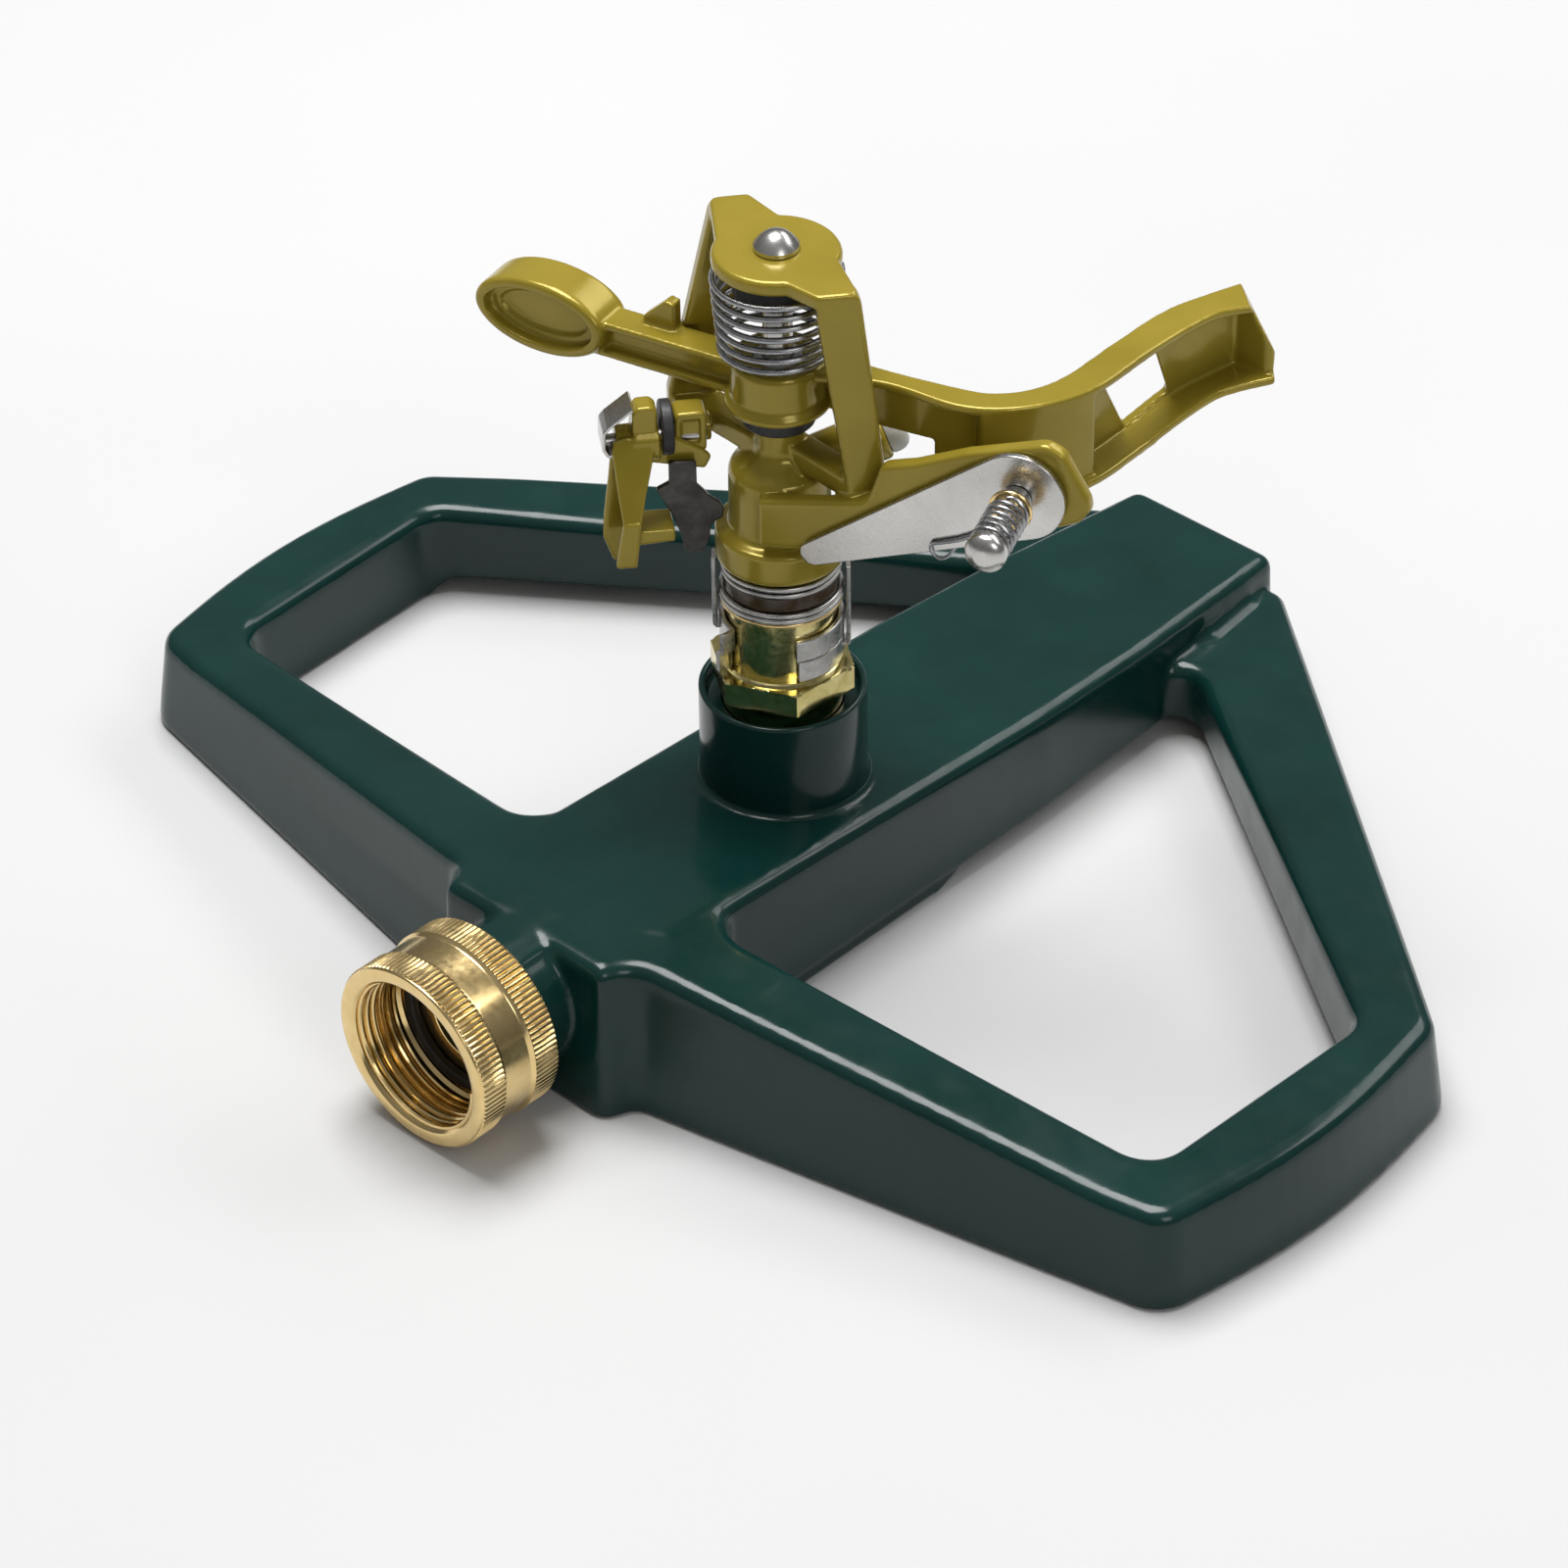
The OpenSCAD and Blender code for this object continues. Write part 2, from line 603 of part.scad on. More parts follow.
module deflector_pin() {
    color(steel) on_deflector_pin() {
        translate([0, 0, -3]) cylinder(r = deflector_pin_r, h = knob_z + 3);
        translate([0, 0, knob_z]) cylinder(r = 3.5, h = 1.6);
        intersection() {
            translate([0, 0, knob_z + 1.6]) cylinder(r = 3.5, h = 2);
            translate([0, 0, knob_z - 2.5]) sphere(r = 5.2);
        }
    }
}

module deflector_washer() { color(brass) on_deflector_pin() tube(4.1, deflector_pin_r, 2, 2.9); }
module deflector_spring() { color(steel) on_deflector_pin() coil(6, 3.2, 3.0, 3.5, knob_z - 0.6, 0.4, 20); }

// ---- trip mechanism ---------------------------------------------------------------------

module along_trip(r, x0, x1, sides = 64) {
    translate([x0, trip_y, trip_z]) rotate([0, 90, 0]) cylinder(r = r, h = x1 - x0, $fn = sides);
}

module trip_shaft() {
    color(steel) in_head() along_trip(trip_pin_r, -28.8, -11.6);
}

module trip_washer() {
    color(black) in_head() difference() {
        along_trip(3.9, -19.4, -17.5);
        along_trip(trip_pin_r, -21, -16);
    }
}

// Plates of the trip mechanism stand across Y, from y0 to y1
module trip_plate(y0, y1) {
    translate([0, y1, 0]) rotate([90, 0, 0]) linear_extrude(y1 - y0) children();
}

paddle_outline = [[-27.1, 97.8], [-26.4, 98.6], [-21, 98], [-20.2, 96.9], [-23.3, 81.5],
    [-24.4, 74.4], [-25, 73.6], [-27.4, 73.6], [-28, 74.4], [-26.9, 81.5]];
rear_plate_outline = [[-28.2, 95], [-23, 95], [-24.6, 78], [-25.8, 70.6], [-28.2, 70.6],
    [-29.4, 76], [-28.6, 86]];
trip_arm_outline = [[-26, 97.6], [-17.4, 97.2], [-12.6, 94.3], [-11.2, 92.7], [-12.3, 90.4],
    [-15.9, 91.3], [-25, 93.4]];
module trip_lever() {
    color(paint_olive) in_head() difference() {
        union() {
            along_trip(3.8, -23.8, -19.8, 6);
            along_trip(2.7, -27, -19.8);
            trip_plate(-2.4, -1.2) polygon(paddle_outline);
            trip_plate(1.4, 2.6) polygon(rear_plate_outline);
            trip_plate(-2.2, -1) polygon(trip_arm_outline);
            // Web between the front plate and the sleeve, and the finger beside the paddle
            translate([-26.6, -2, 93.6]) cube([6, 5, 3.8]);
            translate([-24.6, -2.2, 76.4]) cube([7.2, 2.2, 2.6]);
        }
        along_trip(trip_pin_r, -30, -18);
    }
}

pawl_outline = [[-20.9, 88.2], [-19.7, 85.9], [-18.2, 82.7], [-16.8, 78.5], [-16.3, 75.7],
    [-15.1, 74.8], [-13.2, 74.9], [-12.1, 77], [-11.8, 79.9], [-11.2, 80.6], [-9.8, 81.4],
    [-9.5, 83], [-10.1, 84.4], [-11.9, 85.9], [-12.7, 87], [-14, 88.6], [-14, 93.1],
    [-18.6, 93.4], [-18.6, 89.4]];
module trip_pawl() {
    color([0.35, 0.35, 0.36]) in_head() trip_plate(-1, 0) polygon(pawl_outline);
}

module trip_spring() {
    color(steel) in_head() difference() {
        translate([-29.2, trip_y - 3.6, 91.6]) cube([5, 7.2, 9.4]);
        translate([-28.4, trip_y - 4.6, 92.4]) cube([8, 9.2, 7.8]);
        along_trip(trip_pin_r + 0.1, -30, -28);
        // Notch that straddles the rear plate
        translate([-28.4, 1.3, 91]) cube([5, 1.4, 2]);
    }
}

base_casting();
inlet_nipple();
hose_washer();
bearing_nut();
hose_coupling();
coupling_clip_ring();
trip_collar_upper();
trip_collar_lower();
swivel_stem();
stem_washer();
stem_seal();
thrust_washer();
cap_ring();
bearing_seal();
spring_cup();
bearing_spring();
head_body();
nozzle();
rear_plug();
fulcrum_pin();
arm_washer();
impact_arm();
arm_bushing();
arm_spring();
spring_cap();
deflector_pin();
deflector_plate();
deflector_washer();
deflector_spring();
trip_shaft();
trip_lever();
trip_pawl();
trip_washer();
trip_spring();
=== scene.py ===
"""Looks of the impact sprinkler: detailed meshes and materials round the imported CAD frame.

Sizes are in millimetres, in the CAD part's frame: origin on the ground on the riser's axis, the
hose inlet towards -Y, +Z up. The head's own frame is turned by HEAD_TURN about Z.
"""

import json
import math

import bpy
from mathutils import Matrix, Vector, geometry

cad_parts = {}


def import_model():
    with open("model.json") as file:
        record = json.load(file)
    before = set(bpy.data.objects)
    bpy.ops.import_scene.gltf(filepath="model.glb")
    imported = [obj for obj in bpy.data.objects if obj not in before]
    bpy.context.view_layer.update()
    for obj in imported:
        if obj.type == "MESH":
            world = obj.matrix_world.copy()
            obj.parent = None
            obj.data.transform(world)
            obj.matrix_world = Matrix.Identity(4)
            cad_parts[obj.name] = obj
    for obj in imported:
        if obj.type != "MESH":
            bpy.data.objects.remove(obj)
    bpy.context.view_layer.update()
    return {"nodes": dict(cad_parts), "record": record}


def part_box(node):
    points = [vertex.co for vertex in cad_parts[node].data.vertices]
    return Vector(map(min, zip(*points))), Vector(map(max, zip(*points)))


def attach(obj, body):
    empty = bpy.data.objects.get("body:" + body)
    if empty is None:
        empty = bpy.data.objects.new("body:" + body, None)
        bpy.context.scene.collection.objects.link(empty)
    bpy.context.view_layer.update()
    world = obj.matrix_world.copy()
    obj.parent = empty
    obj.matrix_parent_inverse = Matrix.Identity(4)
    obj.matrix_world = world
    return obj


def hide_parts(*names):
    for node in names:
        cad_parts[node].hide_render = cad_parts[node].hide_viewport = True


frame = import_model()
MM = 0.001


def node_box(node):
    """Lowest and highest corner of a CAD node, in millimetres."""
    low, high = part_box(node)
    return low / MM, high / MM


# ---- driving sizes ----

# Base and riser; the nut is seen as a hexagon round a sleeve
RIM_Z = 18.6
INLET_Z = 17.8
BOSS_R = 14.4
BOSS_TOP = node_box("base_casting")[1].z
RECESS_R, RECESS_DEPTH = 13.2, 3.0
NUT_Z, NUT_TOP, NUT_R, NUT_TURN = 46.9, 51.6, 12.95, 24.6
SLEEVE_R = 9.4
SLEEVE_TOP = node_box("bearing_nut")[1].z
COUPLING_FRONT, COUPLING_BACK = node_box("hose_coupling")[0].y, node_box("hose_coupling")[1].y
COUPLING_R = node_box("hose_coupling")[1].x

# Head: the bridge is the yoke's top, the beam its foot, the wall holds the deflector
HEAD_TURN = 52.0
FLANGE_Z = node_box("head_body")[0].z
BRIDGE_TOP = node_box("head_body")[1].z
BRIDGE_T = 2.8
BRIDGE_Z = BRIDGE_TOP - BRIDGE_T
BEAM_Z = 92.2
YOKE_T = 3.6
PIN_R = 2.5
NOZZLE_Z, NOZZLE_TILT = 88.2, 70
BRACKET_TURN = -29.0
WALL_NEAR, WALL_FAR = 8.0, 11.0
PIVOT_S, PIVOT_Z = 45.5, 102.0
KNOB_Z = 17.0

# Striking arm and trip
ARM_TOP = 111.5
SPOON_BOTTOM = 93.0
SPOON_RISE, SPOON_RISE_FROM = 0.14, 60.0
COUNTERWEIGHT_TURN = 140.0
TRIP_Y, TRIP_Z = 3.0, 96.2

# ---- places ----

IN_HEAD = Matrix.Rotation(math.radians(HEAD_TURN), 4, "Z")
ALONG_INLET = Matrix.Translation((0, 0, INLET_Z)) @ Matrix.Rotation(math.radians(-90), 4, "X")


def upright(turn):
    """An outline drawn as (distance along turn, height), its thickness out to the right."""
    a = math.radians(turn)
    return Matrix(((math.cos(a), 0, math.sin(a), 0), (math.sin(a), 0, -math.cos(a), 0),
                   (0, 1, 0, 0), (0, 0, 0, 1)))


def on_deflector_pin():
    a = math.radians(BRACKET_TURN)
    out = Vector((math.sin(a), -math.cos(a), 0))
    along = Vector((math.cos(a), math.sin(a), 0))
    foot = along * PIVOT_S + out * WALL_FAR + Vector((0, 0, PIVOT_Z))
    up = out.cross(along)
    return Matrix(((along.x, up.x, out.x, foot.x), (along.y, up.y, out.y, foot.y),
                   (along.z, up.z, out.z, foot.z), (0, 0, 0, 1)))


ON_PIN = IN_HEAD @ on_deflector_pin()
ON_TRIP = (IN_HEAD @ Matrix.Translation((0, TRIP_Y, TRIP_Z))
           @ Matrix.Rotation(math.radians(90), 4, "Y"))
ON_NOZZLE = (IN_HEAD @ Matrix.Translation((0, 0, NOZZLE_Z))
             @ Matrix.Rotation(math.radians(NOZZLE_TILT), 4, "Y"))
ACROSS = IN_HEAD @ upright(0)
ALONG_BEAM = IN_HEAD @ upright(COUNTERWEIGHT_TURN + 180)

# ---- outlines ----


def quarter(steps):
    """Angles from 0 to a quarter turn."""
    return [math.pi / 2 * k / steps for k in range(steps + 1)]


def arc_corner(a, b, c, r, steps):
    """Points of the arc that rounds corner b between its neighbours a and c."""
    a, b, c = Vector(a), Vector(b), Vector(c)
    u, w = (a - b).normalized(), (c - b).normalized()
    half = math.acos(max(-1, min(1, u.dot(w)))) / 2
    if half > math.radians(88.5):
        return [b]
    start, finish = b + u * (r / math.tan(half)), b + w * (r / math.tan(half))
    middle = b + (u + w).normalized() * (r / math.sin(half))
    a0 = math.atan2(start.y - middle.y, start.x - middle.x)
    sweep = math.atan2(finish.y - middle.y, finish.x - middle.x) - a0
    sweep = (sweep + math.pi) % (math.tau) - math.pi
    return [middle + r * Vector((math.cos(a0 + sweep * i / steps), math.sin(a0 + sweep * i / steps)))
            for i in range(steps + 1)]


def rounded(points, r, steps=6, closed=True):
    """A polygon with its corners rounded, by one radius or one for each corner."""
    n = len(points)
    radii = [r] * n if isinstance(r, (int, float)) else r
    out = []
    for i, p in enumerate(points):
        if radii[i] == 0 or (not closed and i in (0, n - 1)):
            out.append(Vector(p))
        else:
            out += arc_corner(points[i - 1], p, points[(i + 1) % n], radii[i], steps)
    return out


def smooth_line(points, per=6):
    """A smooth open line through the points."""
    p = [Vector(q) for q in points]
    p = [2 * p[0] - p[1]] + p + [2 * p[-1] - p[-2]]
    out = []
    for i in range(1, len(p) - 2):
        for k in range(per):
            t = k / per
            out.append(0.5 * ((2 * p[i]) + (p[i + 1] - p[i - 1]) * t
                              + (2 * p[i - 1] - 5 * p[i] + 4 * p[i + 1] - p[i + 2]) * t * t
                              + (3 * p[i] - p[i - 1] - 3 * p[i + 1] + p[i + 2]) * t ** 3))
    return out + [p[-2]]


def inset(points, depths):
    """Each point of a closed outline moved to its left by its own depth, or all by one."""
    n = len(points)
    depths = [depths] * n if isinstance(depths, (int, float)) else depths
    out = []
    for i, b in enumerate(points):
        u = (b - points[i - 1]).normalized()
        w = (points[(i + 1) % n] - b).normalized()
        left = Vector((-u.y - w.y, u.x + w.x)) / max(0.2, 1 + u.dot(w))
        out.append(b + left * depths[i])
    return out


def circle(r, sides=64, middle=(0, 0)):
    return [Vector((middle[0] + r * math.cos(math.tau * i / sides),
                    middle[1] + r * math.sin(math.tau * i / sides))) for i in range(sides)]


def rect(x0, y0, x1, y1):
    return [(x0, y0), (x1, y0), (x1, y1), (x0, y1)]


def inset_family(corners, radii, step, arc_steps=8):
    """Gives the outline's inset by any depth, always with the same number of points."""
    corners = [Vector(p) for p in corners]
    n = len(corners)
    bends = [(corners[i] - corners[i - 1]).cross(corners[(i + 1) % n] - corners[i]) > 0
             for i in range(n)]

    def bare(depth):
        moved = inset(corners, depth)
        out = []
        for i, r in enumerate(radii):
            if r == 0:
                out.append(moved[i])
            else:
                kept = max(0.3, r - depth if bends[i] else r + depth)
                out += arc_corner(moved[i - 1], moved[i], moved[(i + 1) % n], kept, arc_steps)
        return out

    base = bare(0)
    cuts = [max(1, math.ceil((base[(i + 1) % len(base)] - p).length / step))
            for i, p in enumerate(base)]

    def loop(depth):
        points = bare(depth)
        return [p + (points[(i + 1) % len(points)] - p) * k / cuts[i]
                for i, p in enumerate(points) for k in range(cuts[i])]

    return loop


def heading(line, i):
    """Direction of an open line at its point i."""
    return (line[min(i + 1, len(line) - 1)] - line[max(i - 1, 0)]).normalized()


def band(line, thickness):
    """A closed outline: a strip of the given thickness centred on an open line."""
    line = [Vector(p) for p in line]
    left, right = [], []
    for i, p in enumerate(line):
        u = heading(line, i)
        side = Vector((-u.y, u.x)) * thickness / 2
        left.append(p + side)
        right.append(p - side)
    return right + left[::-1]


def inside(p, loops):
    hit = False
    for loop in loops:
        for i, a in enumerate(loop):
            b = loop[i - 1]
            if (a.y > p.y) != (b.y > p.y) and p.x < (b.x - a.x) * (p.y - a.y) / (b.y - a.y) + a.x:
                hit = not hit
    return hit


# ---- meshes ----


def added(name, data):
    """A new object in the scene, of the given mesh, light or camera."""
    obj = bpy.data.objects.new(name, data)
    bpy.context.scene.collection.objects.link(obj)
    return obj


class Mesh:
    """Collects rings of points and the faces between them."""

    def __init__(self):
        self.points, self.faces = [], []

    def ring(self, points):
        first = len(self.points)
        self.points += [Vector(p) for p in points]
        return list(range(first, len(self.points)))

    def bridge(self, a, b):
        n = len(a)
        for i in range(n):
            j = (i + 1) % n
            self.faces.append((a[i], a[j], b[j], b[i]))

    def fan(self, ring, tip, up):
        n = len(ring)
        for i in range(n):
            j = (i + 1) % n
            self.faces.append((ring[i], ring[j], tip) if up else (ring[j], ring[i], tip))

    def cap(self, rings, up):
        """Fills the surface between an outer ring and the rings of its holes."""
        loops = [[self.points[i].xy for i in ring] for ring in rings]
        flat = [p for loop in loops for p in loop]
        index = [i for ring in rings for i in ring]
        edges, first = [], 0
        for loop in loops:
            edges += [(first + i, first + (i + 1) % len(loop)) for i in range(len(loop))]
            first += len(loop)
        found = geometry.delaunay_2d_cdt(flat, edges, [], 0, 1e-6)
        where, faces, source = found[0], found[2], found[3]
        for f in faces:
            middle = sum((where[i] for i in f), Vector((0, 0))) / len(f)
            if inside(middle, loops) and all(source[i] for i in f):
                real = [index[source[i][0]] for i in f]
                self.faces.append(tuple(real if up else real[::-1]))

    def build(self, name, place=None, sharp=35, weighted=True):
        mesh = bpy.data.meshes.new(name)
        move = place or Matrix.Identity(4)
        mesh.from_pydata([(move @ p) * MM for p in self.points], [], self.faces)
        mesh.validate()
        for face in mesh.polygons:
            face.use_smooth = True
        mesh.set_sharp_from_angle(angle=math.radians(sharp))
        made = added(name, mesh)
        if weighted:
            made.modifiers.new("normals", "WEIGHTED_NORMAL").keep_sharp = True
        return made


def edge_rings(lo, hi, edge, steps=4):
    """(inset, height) down one side of a plate with rounded edges, bottom to top."""
    turns = quarter(steps)
    low = [(edge * (1 - math.sin(t)), lo + edge * (1 - math.cos(t))) for t in turns]
    high = [(edge * (1 - math.cos(t)), hi - edge * (1 - math.sin(t))) for t in turns]
    return low + high


def prism(name, outline, lo, hi, edge, place, holes=()):
    """A plate with rounded edges: outline counter-clockwise, holes clockwise."""
    made = Mesh()
    bottom, top = [], []
    for loop in [outline, *holes]:
        loop = [Vector(p) for p in loop]
        rings = [made.ring([(p.x, p.y, z) for p in inset(loop, d)])
                 for d, z in edge_rings(lo, hi, edge)]
        for a, b in zip(rings, rings[1:]):
            made.bridge(a, b)
        bottom.append(rings[0])
        top.append(rings[-1])
    made.cap(bottom, False)
    made.cap(top, True)
    if place.to_3x3().determinant() < 0:
        made.faces = [f[::-1] for f in made.faces]
    return made.build(name, place)


def turned(name, profile, place=None, sides=96, closed=False, shape=None, sharp=35):
    """A profile of (radius, height) turned about Z; shape(radius, angle, height) may change it."""
    made = Mesh()
    rings = []
    for r, z in profile:
        if r == 0:
            rings.append(made.ring([(0, 0, z)]))
            continue
        points = []
        for i in range(sides):
            a = math.tau * i / sides
            q = shape(r, a, z) if shape else r
            points.append((q * math.cos(a), q * math.sin(a), z))
        rings.append(made.ring(points))
    pairs = list(zip(rings, rings[1:])) + ([(rings[-1], rings[0])] if closed else [])
    for a, b in pairs:
        if len(a) == 1:
            made.fan(b, a[0], False)
        elif len(b) == 1:
            made.fan(a, b[0], True)
        else:
            made.bridge(a, b)
    return made.build(name, place, sharp)


def rod(name, r, lo, hi, place, sides=48):
    return turned(name, [(0, lo), (r, lo), (r, hi), (0, hi)], place, sides)


def washer(name, inner, outer, lo, hi, edge, place=None, sides=96):
    profile = rounded([(outer, lo), (outer, hi), (inner, hi), (inner, lo)], edge, 3)
    return turned(name, [tuple(p) for p in profile], place, sides, closed=True)


def swept(name, line, r, place=None, sides=10):
    """A round wire along a line of points, closed at both ends."""
    made = Mesh()
    line = [Vector(p) for p in line]
    side = None
    rings = []
    for i, p in enumerate(line):
        u = heading(line, i)
        side = (side - u * side.dot(u)).normalized() if side else u.orthogonal().normalized()
        other = u.cross(side)
        rings.append(made.ring([p + (side * math.cos(a) + other * math.sin(a)) * r
                                for a in [math.tau * k / sides for k in range(sides)]]))
    for a, b in zip(rings, rings[1:]):
        made.bridge(a, b)
    for ring, p, up in ((rings[0], line[0], False), (rings[-1], line[-1], True)):
        made.fan(ring, made.ring([p])[0], up)
    return made.build(name, place, weighted=False)


def applied(obj):
    """Turns the object's modifiers into its mesh."""
    mesh = bpy.data.meshes.new_from_object(obj.evaluated_get(bpy.context.evaluated_depsgraph_get()))
    obj.modifiers.clear()
    obj.data = mesh
    return obj


def joined(name, parts):
    """Parts joined into one mesh, each keeping its shape and smooth shading."""
    target = parts[0]
    for part in parts:
        applied(part)
    bpy.context.view_layer.objects.active = target
    with bpy.context.temp_override(active_object=target, selected_editable_objects=parts,
                                   object=target, selected_objects=parts):
        bpy.ops.object.join()
    target.name = name
    return target


def removed(objects):
    for o in objects:
        bpy.data.objects.remove(o)


def fused(name, parts, voxel, rounds, cuts=()):
    """One casting: the parts joined, the cuts taken away, and all edges softened."""
    verts, faces = [], []
    for part in parts:
        first = len(verts)
        verts += [v.co.copy() for v in part.data.vertices]
        faces += [[first + i for i in f.vertices] for f in part.data.polygons]
    removed(parts)
    mesh = bpy.data.meshes.new(name)
    mesh.from_pydata(verts, [], faces)
    made = added(name, mesh)

    def remesh():
        m = made.modifiers.new("remesh", "REMESH")
        m.mode, m.voxel_size, m.use_smooth_shade = "VOXEL", voxel * MM, True
        applied(made)

    remesh()
    for cut in cuts:
        m = made.modifiers.new("cut", "BOOLEAN")
        m.operation, m.object, m.solver = "DIFFERENCE", cut, "EXACT"
    if cuts:
        applied(made)
        removed(cuts)
        remesh()
    m = made.modifiers.new("soften", "SMOOTH")
    m.factor, m.iterations = 0.5, rounds
    applied(made)
    for face in made.data.polygons:
        face.use_smooth = True
    return made


# ---- materials ----


class Look:
    """A node material with noise-driven colour, roughness and bump."""

    def __init__(self, name):
        self.m = bpy.data.materials.new(name)
        self.m.use_nodes = True
        self.nodes, self.links = self.m.node_tree.nodes, self.m.node_tree.links
        self.shader = self.nodes["Principled BSDF"]
        self.place = self.nodes.new("ShaderNodeTexCoord").outputs["Object"]

    def set(self, **values):
        for key, value in values.items():
            self.shader.inputs[key.replace("_", " ")].default_value = value
        return self

    def stretched(self, scale):
        node = self.nodes.new("ShaderNodeMapping")
        node.inputs["Scale"].default_value = scale
        self.links.new(self.place, node.inputs["Vector"])
        return node.outputs["Vector"]

    def noise(self, scale, detail=3.0, place=None, distortion=0.0, rough=0.5):
        node = self.nodes.new("ShaderNodeTexNoise")
        node.inputs["Scale"].default_value = scale
        node.inputs["Detail"].default_value = detail
        node.inputs["Roughness"].default_value = rough
        node.inputs["Distortion"].default_value = distortion
        self.links.new(place or self.place, node.inputs["Vector"])
        return node.outputs["Fac"]

    def ramp(self, fac, stops):
        node = self.nodes.new("ShaderNodeValToRGB")
        bar = node.color_ramp.elements
        while len(bar) < len(stops):
            bar.new(0.5)
        for e, (at, colour) in zip(bar, stops):
            e.position = at
            e.color = (*colour, 1) if not isinstance(colour, (int, float)) else (colour,) * 3 + (1,)
        self.links.new(fac, node.inputs["Fac"])
        return node.outputs["Color"]

    def mix(self, fac, a, b):
        node = self.nodes.new("ShaderNodeMix")
        node.data_type = "RGBA"
        for socket, value in (("Factor", fac), ("A", a), ("B", b)):
            put = next(s for s in node.inputs if s.name == socket and s.enabled)
            if isinstance(value, bpy.types.NodeSocket):
                self.links.new(value, put)
            else:
                put.default_value = value if isinstance(value, (int, float)) else (*value, 1)
        return next(s for s in node.outputs if s.enabled)

    def math(self, kind, a, b):
        node = self.nodes.new("ShaderNodeMath")
        node.operation = kind
        for put, value in zip(node.inputs, (a, b)):
            if isinstance(value, bpy.types.NodeSocket):
                self.links.new(value, put)
            else:
                put.default_value = value
        return node.outputs[0]

    def colour(self, socket):
        self.links.new(socket, self.shader.inputs["Base Color"])
        return self

    def roughness(self, fac, low, high):
        self.links.new(self.ramp(fac, [(0.3, low), (0.7, high)]), self.shader.inputs["Roughness"])
        return self

    def bump(self, *layers):
        """Layers of (height socket, distance in millimetres), finest last."""
        normal = None
        for height, distance in layers:
            node = self.nodes.new("ShaderNodeBump")
            node.inputs["Distance"].default_value = distance * MM
            node.inputs["Strength"].default_value = 1.0
            self.links.new(height, node.inputs["Height"])
            if normal:
                self.links.new(normal, node.inputs["Normal"])
            normal = node.outputs["Normal"]
        self.links.new(normal, self.shader.inputs["Normal"])
        return self


def enamel(name, dark, light, metallic, peel):
    """Thick glossy paint over a casting: slight orange peel, dust specks, uneven tone."""
    look = Look(name).set(Metallic=metallic, Specular_IOR_Level=0.26, Coat_Weight=0.14,
                          Coat_Roughness=0.05)
    tone = look.ramp(look.noise(45, 4), [(0.32, dark), (0.72, light)])
    specks = look.ramp(look.noise(2600, 2), [(0.72, 0.0), (0.80, 0.3)])
    look.colour(look.mix(specks, tone, tuple(min(1, 2.0 * c + 0.01) for c in light)))
    look.roughness(look.noise(160, 4), 0.15, 0.27)
    return look.bump((look.noise(70, 2), peel * 2.2), (look.noise(620, 2), peel)).m


def metal(name, dark, light, rough, grain, spots=300, scratch=(1, 1, 1)):
    """Bare or plated metal: mottled tone, fine lines along the grain, uneven roughness."""
    look = Look(name).set(Metallic=1.0)
    lines = look.noise(900, 3, look.stretched(scratch), rough=0.6)
    tone = look.ramp(look.noise(spots, 4, distortion=0.5), [(0.3, dark), (0.7, light)])
    look.colour(look.mix(look.math("MULTIPLY", lines, 0.12), tone, tuple(0.7 * c for c in dark)))
    look.roughness(lines, *rough)
    return look.bump((look.noise(120, 2), grain), (lines, grain * 0.4)).m


def soft(name, dark, light, rough, texture):
    """Rubber or moulded plastic: fine matt texture and faint dust."""
    look = Look(name).set(Metallic=0.0)
    look.colour(look.ramp(look.noise(150, 5), [(0.3, dark), (0.75, light)]))
    look.roughness(look.noise(900, 3), *rough)
    return look.bump((look.noise(900, 3), texture)).m


LOOKS = {name: kind(name, *values) for name, kind, *values in (
    ("green_enamel", enamel, (0.0026, 0.0215, 0.0185), (0.004, 0.030, 0.0265), 0.0, 0.003),
    ("olive_enamel", enamel, (0.270, 0.205, 0.020), (0.330, 0.252, 0.030), 0.25, 0.003),
    ("bright_brass", metal, (0.78, 0.57, 0.25), (0.88, 0.67, 0.33), (0.14, 0.24), 0.002),
    ("yellow_zinc", metal, (0.56, 0.47, 0.16), (0.82, 0.72, 0.36), (0.10, 0.22), 0.003),
    ("sheet_steel", metal, (0.42, 0.41, 0.39), (0.60, 0.59, 0.58), (0.24, 0.38), 0.003),
    ("polished_steel", metal, (0.50, 0.485, 0.465), (0.68, 0.67, 0.65), (0.22, 0.30), 0.0006, 55,
     (1, 1, 8)),
    ("spring_steel", metal, (0.30, 0.30, 0.31), (0.46, 0.46, 0.47), (0.22, 0.34), 0.001),
    ("dark_steel", metal, (0.045, 0.043, 0.04), (0.09, 0.086, 0.08), (0.26, 0.42), 0.003),
    ("black_rubber", soft, (0.010, 0.010, 0.011), (0.020, 0.020, 0.021), (0.42, 0.62), 0.006),
    ("brown_rubber", soft, (0.022, 0.011, 0.004), (0.060, 0.032, 0.010), (0.16, 0.30), 0.003),
    ("white_plastic", soft, (0.46, 0.46, 0.44), (0.58, 0.58, 0.56), (0.28, 0.42), 0.003))}


def piece(obj, body, slot, *nodes):
    """Hands a finished mesh to its CAD body, in place of the CAD nodes that it stands for."""
    obj.data.materials.clear()
    obj.data.materials.append(LOOKS[slot])
    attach(obj, body)
    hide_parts(*nodes)


# ---- base casting ----

